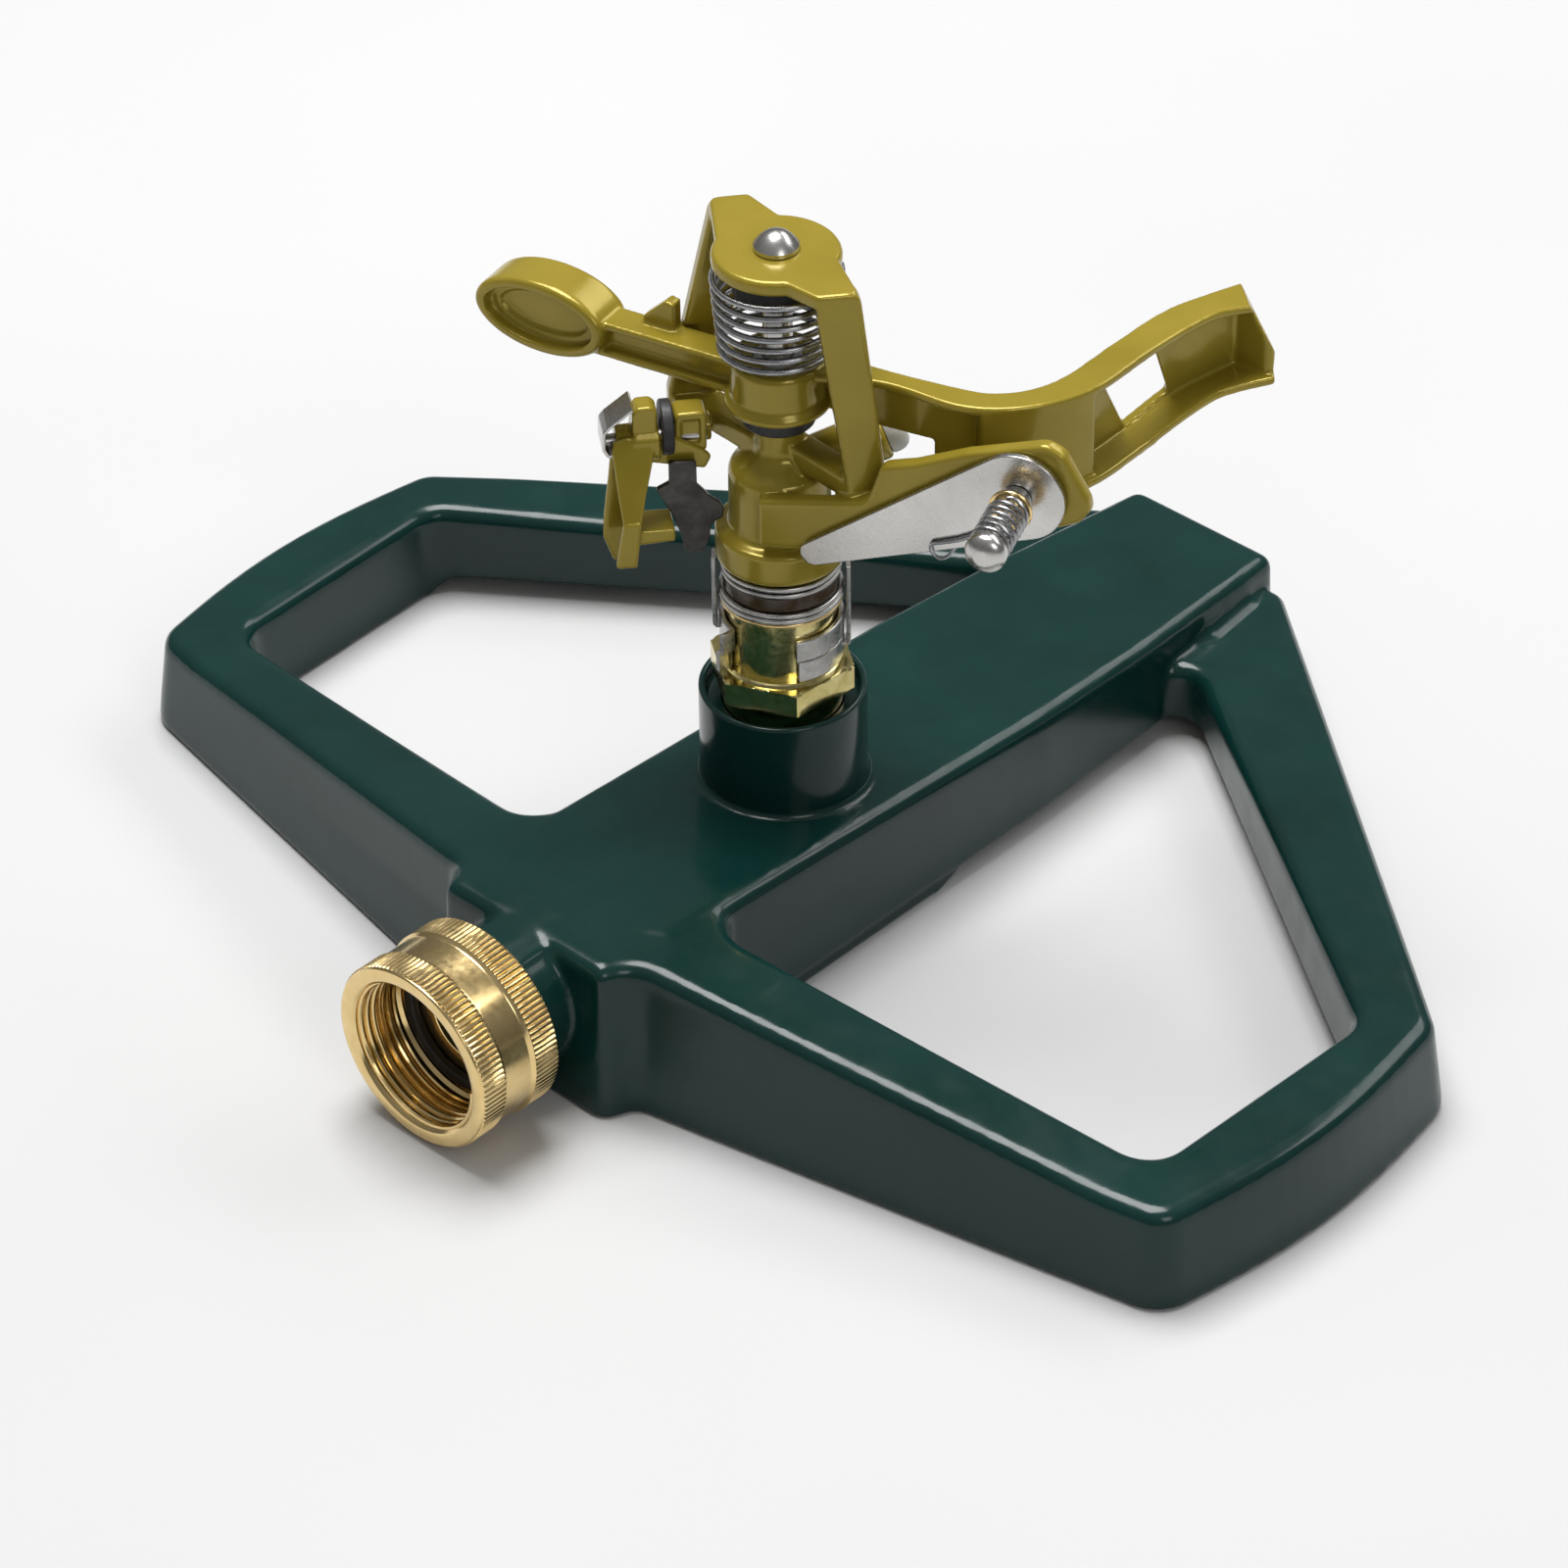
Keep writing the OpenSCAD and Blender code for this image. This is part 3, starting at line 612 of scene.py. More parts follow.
# Lean of the walls and the height where it ends, raised edge, thicknesses, rounding of the top
DRAFT, FOOT_Z, HEM_Z = 2.2, 2.0, 3.5
WALL, ROOF, FILLET = 3.6, 3.6, 2.8
BASE_VOXEL = 0.6
SPINE_FRONT_Y, SPINE_BACK_Y = -60.0, 113.4
SPINE_FRONT_Z, SPINE_BACK_Z = 29.7, 20.0
WING_BACK_Z = 14.8
HUB_FRONT = Vector((18.2, -64.0))
SHOULDER = HUB_FRONT + Vector((2.6, 5.8))
WING_TAIL = Vector((20, 110.5))
RIM_FRONT, RIM_BACK, RIM_BULGE = Vector((118, -38.5)), Vector((119.5, 29.5)), 4.0
HOLE = [(20.2, -40.5), (20.5, 45), (19.4, 75), (18.4, 86.4), (109.5, 21.5), (107.5, -28.5)]
HOLE_RADII = [7, 0, 0, 5, 7, 7]
HALF_SPINE = [(16, SPINE_FRONT_Y), (16, -56), (16, -52), (20.4, -49), (20.8, 45), (19.6, 75),
              (16.4, SPINE_BACK_Y)]
HALF_SPINE_RADII = [1.6, 0, 2, 2, 0, 0, 2.5]
# (share of the wall's height, pull inwards, lift) of the rings up a wall
WALL_RINGS = ((0, 0.6, 0), (0, 0.15, 0.2), (0, 0, 0.6), (0.12, 0, 0), (0.3, 0, 0), (0.6, 0, 0),
              (1, 0, 0))
# (y, spine side, radius) along the fillet between a back arm and the spine
WING_ROOT = ((88.2, 19.0, 0.6), (91.5, 18.7, 3.2), (104.5, 17.4, 3.0), (108.2, 16.9, 1.0))


def ramp_between(x, stops):
    """Straight-line interpolation through (x, y) stops."""
    for (x0, y0), (x1, y1) in zip(stops, stops[1:]):
        if x <= x1:
            return y0 + (y1 - y0) * max(0, (x - x0) / (x1 - x0))
    return stops[-1][1]


def spine_height(x, y):
    t = (y - SPINE_FRONT_Y) / (SPINE_BACK_Y - SPINE_FRONT_Y)
    return SPINE_FRONT_Z + (SPINE_BACK_Z - SPINE_FRONT_Z) * t


def wing_height(x, y):
    near = spine_height(x, y) - 0.05 if y < 0 else WING_BACK_Z
    return ramp_between(abs(x), [(19, near), (107, RIM_Z), (200, RIM_Z)])


def wing_foot(x, y):
    """The back arm's edge is raised off the ground; the rim and the front arm stand on it."""
    if y < 20:
        return 0.0
    return HEM_Z * min(1, max(0, (112 - abs(x)) / 4)) * min(1, (y - 20) / 4)


def spine_foot(x, y):
    return HEM_Z * min(1, max(0, (y + 40) / 4)) * min(1, max(0, (SPINE_BACK_Y - 4 - y) / 3))


def casting_shell(made, families, height, foot, drafts, fillet):
    """A hollow casting open at the bottom, with drafted walls and rounded top edges."""
    tops, roofs = [], []
    for family, draft in zip(families, drafts):
        def lean(z):
            return -draft * min(1, max(0, (RIM_Z - z) / (RIM_Z - FOOT_Z)))

        edge = family(0)
        wall_tops = [height(p.x, p.y) - fillet for p in edge]
        feet = [foot(p.x, p.y) for p in edge]
        rings = []
        for share, pull, lift in WALL_RINGS:
            zs = [f + lift + (t - f) * share for f, t in zip(feet, wall_tops)]
            xy = inset(edge, [lean(z) + pull for z in zs])
            rings.append(made.ring([(p.x, p.y, z) for p, z in zip(xy, zs)]))
        for turn in quarter(6)[1:]:
            xy = inset(family(fillet * (1 - math.cos(turn))), [lean(z) for z in wall_tops])
            rings.append(made.ring([(p.x, p.y, z + fillet * math.sin(turn))
                                    for p, z in zip(xy, wall_tops)]))
        for a, b in zip(rings, rings[1:]):
            made.bridge(a, b)
        tops.append(rings[-1])
        lip = made.ring([(p.x, p.y, f) for p, f in zip(family(WALL + 1.2 - draft), feet)])
        roof = made.ring([(p.x, p.y, z + fillet - ROOF)
                          for p, z in zip(family(WALL + 0.4), wall_tops)])
        made.bridge(lip, rings[0])
        made.bridge(roof, lip)
        roofs.append(roof)
    made.cap(tops, True)
    made.cap(roofs, False)


def mirrored(loop):
    return [Vector((-p.x, p.y)) for p in loop][::-1]


def wing_loops():
    """Outer edge of both wings together, and the openings of the right and left wing."""
    steps = 14
    along = RIM_BACK - RIM_FRONT
    out = Vector((along.y, -along.x)).normalized()
    bulge = [RIM_FRONT + along * i / steps + out * RIM_BULGE * math.sin(math.pi * i / steps)
             for i in range(1, steps)]
    right = [HUB_FRONT, SHOULDER, RIM_FRONT, *bulge, RIM_BACK, WING_TAIL]
    radii = [1.6, 6, 6] + [0] * (steps - 1) + [6, 3]
    outer = inset_family(right + mirrored(right), radii + radii[::-1], 4)
    hole = [Vector(p) for p in HOLE]
    return [outer, inset_family(hole, HOLE_RADII, 4),
            inset_family(mirrored(hole), HOLE_RADII[::-1], 4)]


def concave_foot(r, spread, z, rise, steps=8):
    """Profile of a fillet that spreads from radius r at the top to r + spread at height z."""
    return [(r + spread * (1 - math.sin(t)), z + rise * (1 - math.cos(t))) for t in quarter(steps)]


def wing_root(side):
    """Concave fillet where the top of a back arm meets the side of the spine."""
    made = Mesh()
    floor_z = WING_BACK_Z + 0.15
    rings = []
    for y, x, r in WING_ROOT:
        arc = [(x + r - r * math.sin(t), floor_z + r - r * math.cos(t)) for t in quarter(8)]
        outline = [(10, 10), (x + r + 1, 10), (x + r + 1, floor_z - 0.1), *arc, (10, floor_z + r)]
        rings.append(made.ring([(side * px, y, pz) for px, pz in outline]))
    for a, b in zip(rings, rings[1:]):
        made.bridge(a, b)
    for ring, row, up in ((rings[0], WING_ROOT[0], False), (rings[-1], WING_ROOT[-1], True)):
        made.fan(ring, made.ring([(side * 12, row[0], 12)])[0], up)
    if side < 0:
        made.faces = [f[::-1] for f in made.faces]
    return made.build("wing_root")


def base_casting():
    wings = Mesh()
    casting_shell(wings, wing_loops(), wing_height, wing_foot, (DRAFT, 0.0, 0.0), FILLET)
    half = [Vector(p) for p in HALF_SPINE]
    spine = inset_family(half + mirrored(half), HALF_SPINE_RADII + HALF_SPINE_RADII[::-1], 4)
    middle = Mesh()
    casting_shell(middle, [spine], spine_height, spine_foot, (0.6,), 2.6)
    foot = concave_foot(BOSS_R - 0.1, 2.5, 25.2, 3.2)
    neck = [(0, -72), (11.4, -72), (12.2, -71.2), (12.2, -56), (0, -56)]
    ridge = rounded(rect(-6.4, -72, 6.4, -58), [1.4, 1.4, 0, 0], 5)
    shell = fused("base_shell", [
        wings.build("wings"), middle.build("spine"),
        turned("boss_foot", [(0, 22), (foot[0][0], 22), *foot, (BOSS_R - 0.1, 30), (0, 30)]),
        turned("neck", neck, ALONG_INLET),
        prism("ridge", ridge, INLET_Z, 29.2, 1.4, Matrix.Identity(4)),
        wing_root(1), wing_root(-1)], BASE_VOXEL, 6)

    def lip(r0, r1):
        """Rounded top of the boss, from its outer to its inner radius."""
        middle, half = (r0 + r1) / 2, (r0 - r1) / 2
        return [(middle + half * math.cos(t), BOSS_TOP - half + half * math.sin(t))
                for t in [math.pi * k / 8 for k in range(9)]]

    floor_z = BOSS_TOP - RECESS_DEPTH
    boss = turned("boss", [(0, 24), (BOSS_R, 24), (BOSS_R, 36), *lip(BOSS_R, RECESS_R),
                           (RECESS_R, floor_z + 0.5), (RECESS_R - 0.5, floor_z), (10.6, floor_z),
                           (10.6, 30), (0, 30)], sides=128)
    return [shell, boss]


piece(joined("base", base_casting()), "base", "green_enamel", "base_casting")

# ---- inlet ----

KNURLS = 108
THREAD_R, THREAD_WIRE, THREAD_TURNS, THREAD_PITCH = 13.65, 0.5, 6.1, 1.5


def knurled(r, a, z):
    """Coupling radius: fine teeth round both rims."""
    near_back = COUPLING_BACK - 5.3 < z < COUPLING_BACK - 0.25
    near_front = COUPLING_FRONT + 0.6 < z < COUPLING_FRONT + 5.4
    if r > COUPLING_R - 0.5 and (near_back or near_front):
        groove = abs(((a * KNURLS / math.pi) % 2) - 1)
        return r - 0.5 * max(0, groove - 0.4)
    return r


def hose_coupling():
    f, b, r = COUPLING_FRONT, COUPLING_BACK, COUPLING_R
    m = r - 0.45
    profile = [(13.75, f + 0.7), (14.2, f + 0.2), (14.5, f), (16.3, f), (m - 0.1, f + 0.15),
               (m, f + 0.3), (m, f + 0.5), (r - 0.15, f + 0.65), (r - 0.15, f + 3.2),
               (r - 0.15, f + 5.3), (m, f + 5.5), (m - 0.1, f + 6.0), (m - 0.1, b - 6.3),
               (m, b - 6.0), (r, b - 5.5), (r, b - 5.2), (r, b - 2.8), (r, b - 0.4),
               (r - 0.3, b - 0.1), (r - 0.6, b), (11.0, b), (10.3, b - 0.3), (10.3, b - 2.4),
               (13.2, b - 2.4), (13.2, -79.6), (13.75, -80.2), (13.75, f + 1.8)]
    shell = turned("coupling_shell", profile, ALONG_INLET, KNURLS * 6, closed=True,
                   shape=knurled)
    helix = [(THREAD_R * math.cos(a), THREAD_R * math.sin(a), f + 0.9 + THREAD_PITCH * a / math.tau)
             for a in [math.tau * THREAD_TURNS * k / 400 for k in range(401)]]
    thread = swept("coupling_thread", helix, THREAD_WIRE, ALONG_INLET, 8)
    return joined("coupling", [shell, thread])


piece(hose_coupling(), "coupling", "bright_brass", "hose_coupling")
piece(turned("inlet_tube", [(7.0, -78), (7.3, -78.2), (12.0, -78.2), (12.3, -77.9), (12.3, -75.9),
                            (12.0, -75.6), (10, -75.6), (10, -52), (7, -52), (7, -60)],
             ALONG_INLET, closed=True), "base", "bright_brass", "inlet_nipple")
piece(washer("inlet_washer", 10.2, 12.4, -79.9, -78.3, 0.4, ALONG_INLET), "base", "black_rubber",
      "hose_washer")

# ---- bearing ----


def hexagonal(across, turn, chamfer, lo, hi):
    """Radius of a hexagon with both faces chamfered round."""
    def shape(r, a, z):
        if r < across * 0.8:
            return r
        step = math.radians(60)
        b = (a - math.radians(turn)) % step - step / 2
        apothem = across * math.cos(step / 2)
        return min(r, apothem / math.cos(b), apothem + chamfer + 2.2 * min(z - lo, hi - z))
    return shape


def bearing_nut():
    r, lo, hi = NUT_R, NUT_Z, NUT_TOP
    hexagon = turned("nut_hex", [(9, lo), (11.2, lo), (r, lo + 0.05), (r, lo + 0.3), (r, lo + 0.6),
                                 (r, hi - 0.6), (r, hi - 0.3), (r, hi - 0.05), (11.2, hi),
                                 (10.6, hi), (10.4, hi + 0.5), (10.1, hi + 0.7), (9, hi + 0.7)],
                     sides=240, shape=hexagonal(r, NUT_TURN, 1.1, lo, hi), sharp=24)
    stem = turned("nut_stem", [(9.0, 47.4), (10.4, 46.9), (10.4, 33), (9.8, 32), (6.6, 32),
                               (6.6, 63.4), (7.0, SLEEVE_TOP), (9.0, SLEEVE_TOP),
                               (SLEEVE_R, SLEEVE_TOP - 0.4), (SLEEVE_R, 53), (9.2, 51)],
                  sides=128, closed=True)
    return joined("riser_nut", [hexagon, stem])


piece(bearing_nut(), "base", "yellow_zinc", "bearing_nut")

COLLAR_T, COLLAR_HEIGHT = 1.1, 4.1
COLLAR_R = SLEEVE_R + 0.08 + COLLAR_T / 2


def collar(name, z0, gap_from, gap_to, finger_at, finger_top):
    """A sheet band sprung round the sleeve, with a bent tab and a finger that stands up."""
    def at(a, r=COLLAR_R):
        return Vector((r * math.cos(math.radians(a)), r * math.sin(math.radians(a))))

    arc = [at(a) for a in range(int(gap_to), int(gap_from) + 360 - 5, 6)] + [at(gap_from + 355)]
    out = at(gap_from - 2) + at(gap_from - 2, 1) * 2.6
    line = arc + [at(gap_from - 3.5, COLLAR_R + 0.25), at(gap_from - 2.4, COLLAR_R + 0.9), out]
    ring = prism(name + "_band", band(line, COLLAR_T - 0.1), z0, z0 + COLLAR_HEIGHT, 0.3,
                 Matrix.Identity(4))
    path = [(COLLAR_R, z0 + 1.55), (COLLAR_R + 0.9, z0 + 1.55), (COLLAR_R + 1.2, z0 + 1.9),
            (COLLAR_R + 1.25, z0 + 2.6), (COLLAR_R + 1.25, finger_top)]
    finger = prism(name + "_finger", band(path, 0.75), -1.6, 1.6, 0.2, upright(finger_at))
    return joined(name, [ring, finger])


piece(collar("upper_collar", 56.7, -98, -33, 222, 72.2), "upper_stop", "sheet_steel",
      "trip_collar_upper")
piece(collar("lower_collar", 52.5, -104, -31, 44, 70.2), "lower_stop", "sheet_steel",
      "trip_collar_lower")
piece(washer("brass_washer", 6.6, 10.5, 64.0, 64.7, 0.2), "head", "bright_brass", "thrust_washer")
piece(joined("steel_cap", [washer("cap_lower", 6.6, 10.6, 64.75, 65.75, 0.35),
                           washer("cap_upper", 6.6, 10.5, 65.8, 66.75, 0.4)]),
      "head", "sheet_steel", "cap_ring")
piece(washer("grit_seal", 8.8, 9.9, 66.8, 69.9, 0.5), "head", "brown_rubber", "bearing_seal")
piece(joined("spring_seat", [washer("seat_lower", 8.8, 10.3, 69.9, 70.75, 0.35),
                             washer("seat_upper", 8.8, 10.4, 71.15, 72.1, 0.35)]),
      "head", "sheet_steel", "spring_cup")

# ---- springs ----


def coil(turns, r0, r1, z0, z1):
    """Points of a coil whose radius and height change evenly from end to end."""
    steps = int(turns * 40)
    out = []
    for t in [k / steps for k in range(steps + 1)]:
        r, a = r0 + (r1 - r0) * t, math.tau * turns * t
        out.append((r * math.cos(a), r * math.sin(a), z0 + (z1 - z0) * t))
    return out


piece(swept("arm_coil", coil(7, 9.5, 10.6, 113.3, 128.3), 0.58, IN_HEAD, 12), "arm",
      "spring_steel", "arm_spring")
piece(swept("bearing_coil", coil(3, 7.7, 7.7, 67.5, 72.1), 0.5, None, 10), "head",
      "spring_steel", "bearing_spring")

# ---- head body ----

CASTING_VOXEL = 0.28


def yoke_side(name, place, top, low, reach):
    """One side of the yoke: top ear, leg and foot, each from an outline seen from the front."""
    ear = rounded([(-5, -5), (top[0], -reach), (top[1], -reach), (9.4, -4), (0, 4)],
                  [0, 1.0, 1.6, 3, 0], 5)
    leg = rounded([(top[0], BRIDGE_TOP), (top[0], BRIDGE_Z - 2), (low[0], BEAM_Z), (low[1], BEAM_Z),
                   (low[1], 97), (top[1], BRIDGE_TOP)], [1.0, 0, 1, 1.4, 2, 2.2], 5)
    beam = [(-1.5, 0), (low[0], -reach), (low[1], -reach), (4.5, 0)]
    return [prism(name + "_ear", ear, BRIDGE_Z, BRIDGE_TOP, 0.7, place),
            prism(name + "_leg", leg, reach - YOKE_T, reach, 0.6, place @ upright(0)),
            prism(name + "_beam", beam, BEAM_Z, BEAM_Z + 4.2, 0.5, place)]


def body_turning():
    f = FLANGE_Z
    profile = [(0, f), (10.6, f), (11, f + 0.4), (11, f + 5.4), (10.7, f + 5.9), (9.6, f + 6.2),
               (8.8, f + 6.5), (8.6, f + 7.2), (8.6, 89.2), (8.5, 90.2), (8.1, 91.0), (5.4, 92.9),
               (4.5, 93.8), (4.2, 95.0), (4.2, 99.2), (0, 99.2)]
    return turned("body_turning", profile, IN_HEAD, 96)


BRACKET = [(0, 80.5), (6, 81.5), (46, 93.6), (51.8, 96.2), (55.6, 98.1), (57.3, 100.7), (57, 102.6),
           (52.6, 110.6), (49.5, 112), (35.9, 107.4), (27.2, 103.4), (21.5, 101.6), (19, 94), (0, 90)]
BRACKET_RADII = [0, 0, 3, 3, 1.5, 1.0, 1.0, 2.5, 3, 6, 6, 2, 3, 0]


def head_body():
    disc = [(0, BRIDGE_Z), (10.2, BRIDGE_Z), (10.75, BRIDGE_Z + 0.6), (10.75, BRIDGE_TOP - 0.7),
            (10.2, BRIDGE_TOP), (0, BRIDGE_TOP)]
    parts = [
        body_turning(),
        *yoke_side("near", IN_HEAD, (4.2, 11.2), (9.2, 15.3), 15.8),
        *yoke_side("far", IN_HEAD @ Matrix.Rotation(math.pi, 4, "Z"), (1.8, 8.5), (9.3, 16.4), 17.6),
        turned("bridge_disc", disc, IN_HEAD, 72),
        turned("nozzle_boss", [(0, 0), (4.4, 0), (4.4, 18.4), (3.9, 19), (0, 19)], ON_NOZZLE, 48),
        prism("bracket_wall", rounded(BRACKET, BRACKET_RADII, 5), WALL_NEAR, WALL_FAR, 0.8,
              IN_HEAD @ upright(BRACKET_TURN)),
        turned("pivot_boss", [(0, -3), (4, -3), (4, 0.2), (0, 0.3)], ON_PIN, 48),
        prism("trip_post", rounded(rect(-17.2, 93.4, -11.8, 101.2), 0.8, 4), -6.0, -1.2, 0.4, ACROSS),
        prism("trip_link", rect(-15.6, 93.4, -10.6, 96.4), -15.2, -4.2, 0.4, ACROSS)]
    cuts = [
        rod("jet_bore", 3, 10, 30, ON_NOZZLE, 40),
        prism("beam_room", rect(-26, 101.8, -10, 110.2), -3.6, 3, 0.2, ALONG_BEAM),
        prism("post_recess", rounded(rect(-16.1, 95.2, -12.9, 99.8), 0.5, 3), -1.9, 1, 0.1, ACROSS)]
    return fused("head", parts, CASTING_VOXEL, 5, cuts)


piece(head_body(), "head", "olive_enamel", "head_body")
piece(turned("jet_tip", [(0, 13), (2.9, 13), (2.9, 19.0), (3.7, 19.1), (3.8, 19.4), (3.8, 20.4),
                         (3.6, 21.2), (3.1, 21.9), (2.5, 22.3), (2.1, 22.4), (1.9, 22.0),
                         (1.8, 16), (0, 16)], ON_NOZZLE, 64), "head", "white_plastic", "nozzle")
TOWARDS_BACK = IN_HEAD @ Matrix.Translation((0, 0, 82)) @ Matrix.Rotation(math.radians(-90), 4, "Y")
piece(turned("tail_plug", [(0, 5.2), (2.4, 5.2), (2.4, 8.0), (2.2, 8.2), (1.3, 8.2), (1.3, 6.8),
                           (0, 6.8)], TOWARDS_BACK, 60), "head", "bright_brass", "rear_plug")

RIVET_R, RIVET_BALL, RIVET_RISE = 3.8, 8.3, 1.6


def rivet_crown(lo, hi, steps=10):
    """Part of a ball from the rivet's rim at height lo to its crown at hi, ends left out."""
    reach = math.sqrt(RIVET_BALL ** 2 - (RIVET_BALL - RIVET_RISE) ** 2)
    out = []
    for share in [1 - k / steps for k in range(1, steps)]:
        rise = math.sqrt(RIVET_BALL ** 2 - (reach * share) ** 2) - (RIVET_BALL - RIVET_RISE)
        out.append((RIVET_R * share, lo + (hi - lo) * rise / RIVET_RISE))
    return out


def fulcrum_pin():
    b = BRIDGE_TOP
    top = node_box("fulcrum_pin")[1].z
    profile = [(0, 95), (PIN_R, 95), (PIN_R, b - 0.2), (3.5, b - 0.1), (RIVET_R, b + 0.2),
               (RIVET_R, b + 0.9), *rivet_crown(b + 0.9, top), (0, top)]
    return turned("fulcrum", profile)


piece(fulcrum_pin(), "head", "polished_steel", "fulcrum_pin")
piece(washer("arm_rest_washer", PIN_R, 6.2, 99.4, 102.6, 0.6), "head", "black_rubber", "arm_washer")
piece(washer("spring_hub", PIN_R, 7.4, 124.6, BRIDGE_Z, 0.5), "head", "black_rubber", "spring_cap")

# ---- impact arm ----

ARM_BACK = [(6, 3), (15.6, -5.5), (28.4, -14.2), (33.7, -16.3), (39.4, -16), (45.6, -13),
            (55.5, -4.6), (65.2, 3), (72.5, 6.4), (79.4, 9)]
ARM_FRONT = [(84.6, 3), (83.6, 1.4), (77, 1.2), (72, -0.4), (62, -7.4), (51, -16.8), (43, -20.6),
             (34, -21.4), (26, -18.8), (16, -10.6), (4, -6)]
ARM_WALL = 1.8
# The thin end wall of the spoon, from above
END_WALL = [(77.2, 8.0), (82.2, 1.7), (83.6, 1.4), (84.6, 3), (79.4, 9)]
# Outlines in the upright plane along the arm
END_CUT = [(78.6, 113), (84.1, 101.4), (83.1, 90), (95, 90), (95, 113)]
WINDOW = [(51.0, 110.0), (57.0, 94.8), (65.8, 96.2), (61.8, 110.0)]
# Outline of the lug and middle of the counterweight, in the upright plane along its beam
REST_LUG = [(-26.4, 107), (-20.4, 107), (-20.4, 114.6), (-22, 115), (-26.4, 110.8)]
WEIGHT_S, WEIGHT_Z = -44.3, 107


def arm_outlines():
    back = smooth_line(ARM_BACK)
    front = [Vector(ARM_FRONT[0])] + smooth_line(ARM_FRONT[1:])
    wall = []
    for i, p in enumerate(back):
        u = heading(back, i)
        wall.append(p + ARM_WALL * Vector((u.y, -u.x)))
    return back, front, wall


def counterclockwise(loop):
    area = sum(a.x * b.y - b.x * a.y for a, b in zip(loop, loop[1:] + loop[:1]))
    return loop if area > 0 else loop[::-1]


def spoon_floor_z(x):
    return SPOON_BOTTOM + SPOON_RISE * (x - SPOON_RISE_FROM)


def between(loop, x0, x1):
    """The part of a strip outline between two distances from the fulcrum."""
    return [p for p in loop if x0 <= p.x <= x1]


def oval(a, b):
    """Outline of the counterweight, of half width a and half height b."""
    return [(WEIGHT_S + a * math.cos(math.radians(d)), WEIGHT_Z + b * math.sin(math.radians(d)))
            for d in range(0, 360, 5)]


def impact_arm():
    back, front, wall = arm_outlines()

    def strip(x0, x1):
        return counterclockwise(between(back, x0, x1) + between(wall, x0, x1)[::-1])

    def slab(x0, x1, shift=0.0):
        moved = [p + Vector((0, shift)) for p in between(front, x0, x1)]
        return counterclockwise(between(back, x0, x1) + moved)

    rising = Matrix(((1, 0, 0, 0), (0, 1, 0, 0),
                     (SPOON_RISE, 0, 1, -SPOON_RISE * SPOON_RISE_FROM), (0, 0, 0, 1)))
    below = [(60, 80), (95, 80), (95, spoon_floor_z(95)), (60, spoon_floor_z(60))]
    floor_top = SPOON_BOTTOM + 1.6
    parts = [
        turned("arm_hub", [(0, 103), (8.4, 103), (9, 103.5), (9, 104.2), (8.6, 104.7), (8.0, 105.4),
                           (8.0, 111.2), (7.5, 112), (0, 112)], IN_HEAD, 72),
        prism("arm_strip_near", strip(0, 32), 101.2, ARM_TOP, 0.3, IN_HEAD),
        prism("arm_strip_far", strip(22.5, 90), SPOON_BOTTOM, ARM_TOP, 0.3, IN_HEAD),
        prism("arm_top_flange", counterclockwise(back + front), ARM_TOP - 1.6, ARM_TOP, 0.5, IN_HEAD),
        prism("arm_elbow", slab(29, 50), SPOON_BOTTOM + 0.4, ARM_TOP, 0.6, IN_HEAD),
        prism("spoon_floor_near", slab(34, 63, -1.5), SPOON_BOTTOM, floor_top, 0.5, IN_HEAD),
        prism("spoon_floor_far", slab(58, 90, -1.5), SPOON_BOTTOM, floor_top, 0.5, IN_HEAD @ rising),
        prism("spoon_end", END_WALL, SPOON_BOTTOM + 0.2, ARM_TOP, 0.3, IN_HEAD),
        prism("weight_web", [(-34, 102.6), (-6, 103.4), (-6, 109.4), (-34, 109)], -1, 1, 0.2,
              ALONG_BEAM),
        prism("weight_oval", oval(12.7, 6.9), -4.2, 4.5, 1.0, ALONG_BEAM),
        prism("rest_lug", REST_LUG, -3.1, -0.3, 0.3, ALONG_BEAM)]
    for z in (102.4, 107.8):
        rail = [(-34, z), (-6.5, z + 0.8), (-6.5, z + 2.2), (-34, z + 1.4)]
        parts.append(prism("weight_rail", rail, -3, 3, 0.4, ALONG_BEAM))
    cuts = [
        prism("weight_cup", oval(10.6, 5.0), 2.4, 6, 0.4, ALONG_BEAM),
        prism("weight_cup_step", oval(8.6, 3.6), 1.6, 4, 0.4, ALONG_BEAM),
        rod("arm_bore", 4, 100, 115, IN_HEAD),
        prism("jet_window", rounded(WINDOW, 0.8, 4), -12, 16, 0.2, ACROSS),
        prism("spoon_slant", END_CUT, -25, 25, 0.2, ACROSS),
        prism("spoon_under", below, -25, 35, 0.2, ACROSS)]
    return fused("striking_arm", parts, CASTING_VOXEL, 5, cuts)


piece(impact_arm(), "arm", "olive_enamel", "impact_arm")
piece(washer("arm_sleeve", PIN_R + 0.08, 4.0, 102.8, 112.4, 0.3), "arm", "white_plastic",
      "arm_bushing")

# ---- deflector ----

PLATE_R, TIP_R = 8, 2.2
TIP_REACH, TIP_DROP = 35.2, 19.2


def wedge():
    """The plate: a circle round the pivot and a small one at the tip, with straight sides."""
    tip = Vector((PIVOT_S - TIP_REACH, PIVOT_Z - TIP_DROP))
    pivot = Vector((PIVOT_S, PIVOT_Z))
    slope = math.atan2(-TIP_DROP, -TIP_REACH)
    lean = math.acos((PLATE_R - TIP_R) / (tip - pivot).length)
    out = []
    for middle, r, start, sweep, steps in ((pivot, PLATE_R, slope + lean, math.tau - 2 * lean, 40),
                                           (tip, TIP_R, slope - lean, 2 * lean, 12)):
        for i in range(steps + 1):
            a = start + sweep * i / steps
            out.append(middle + r * Vector((math.cos(a), math.sin(a))))
    return out


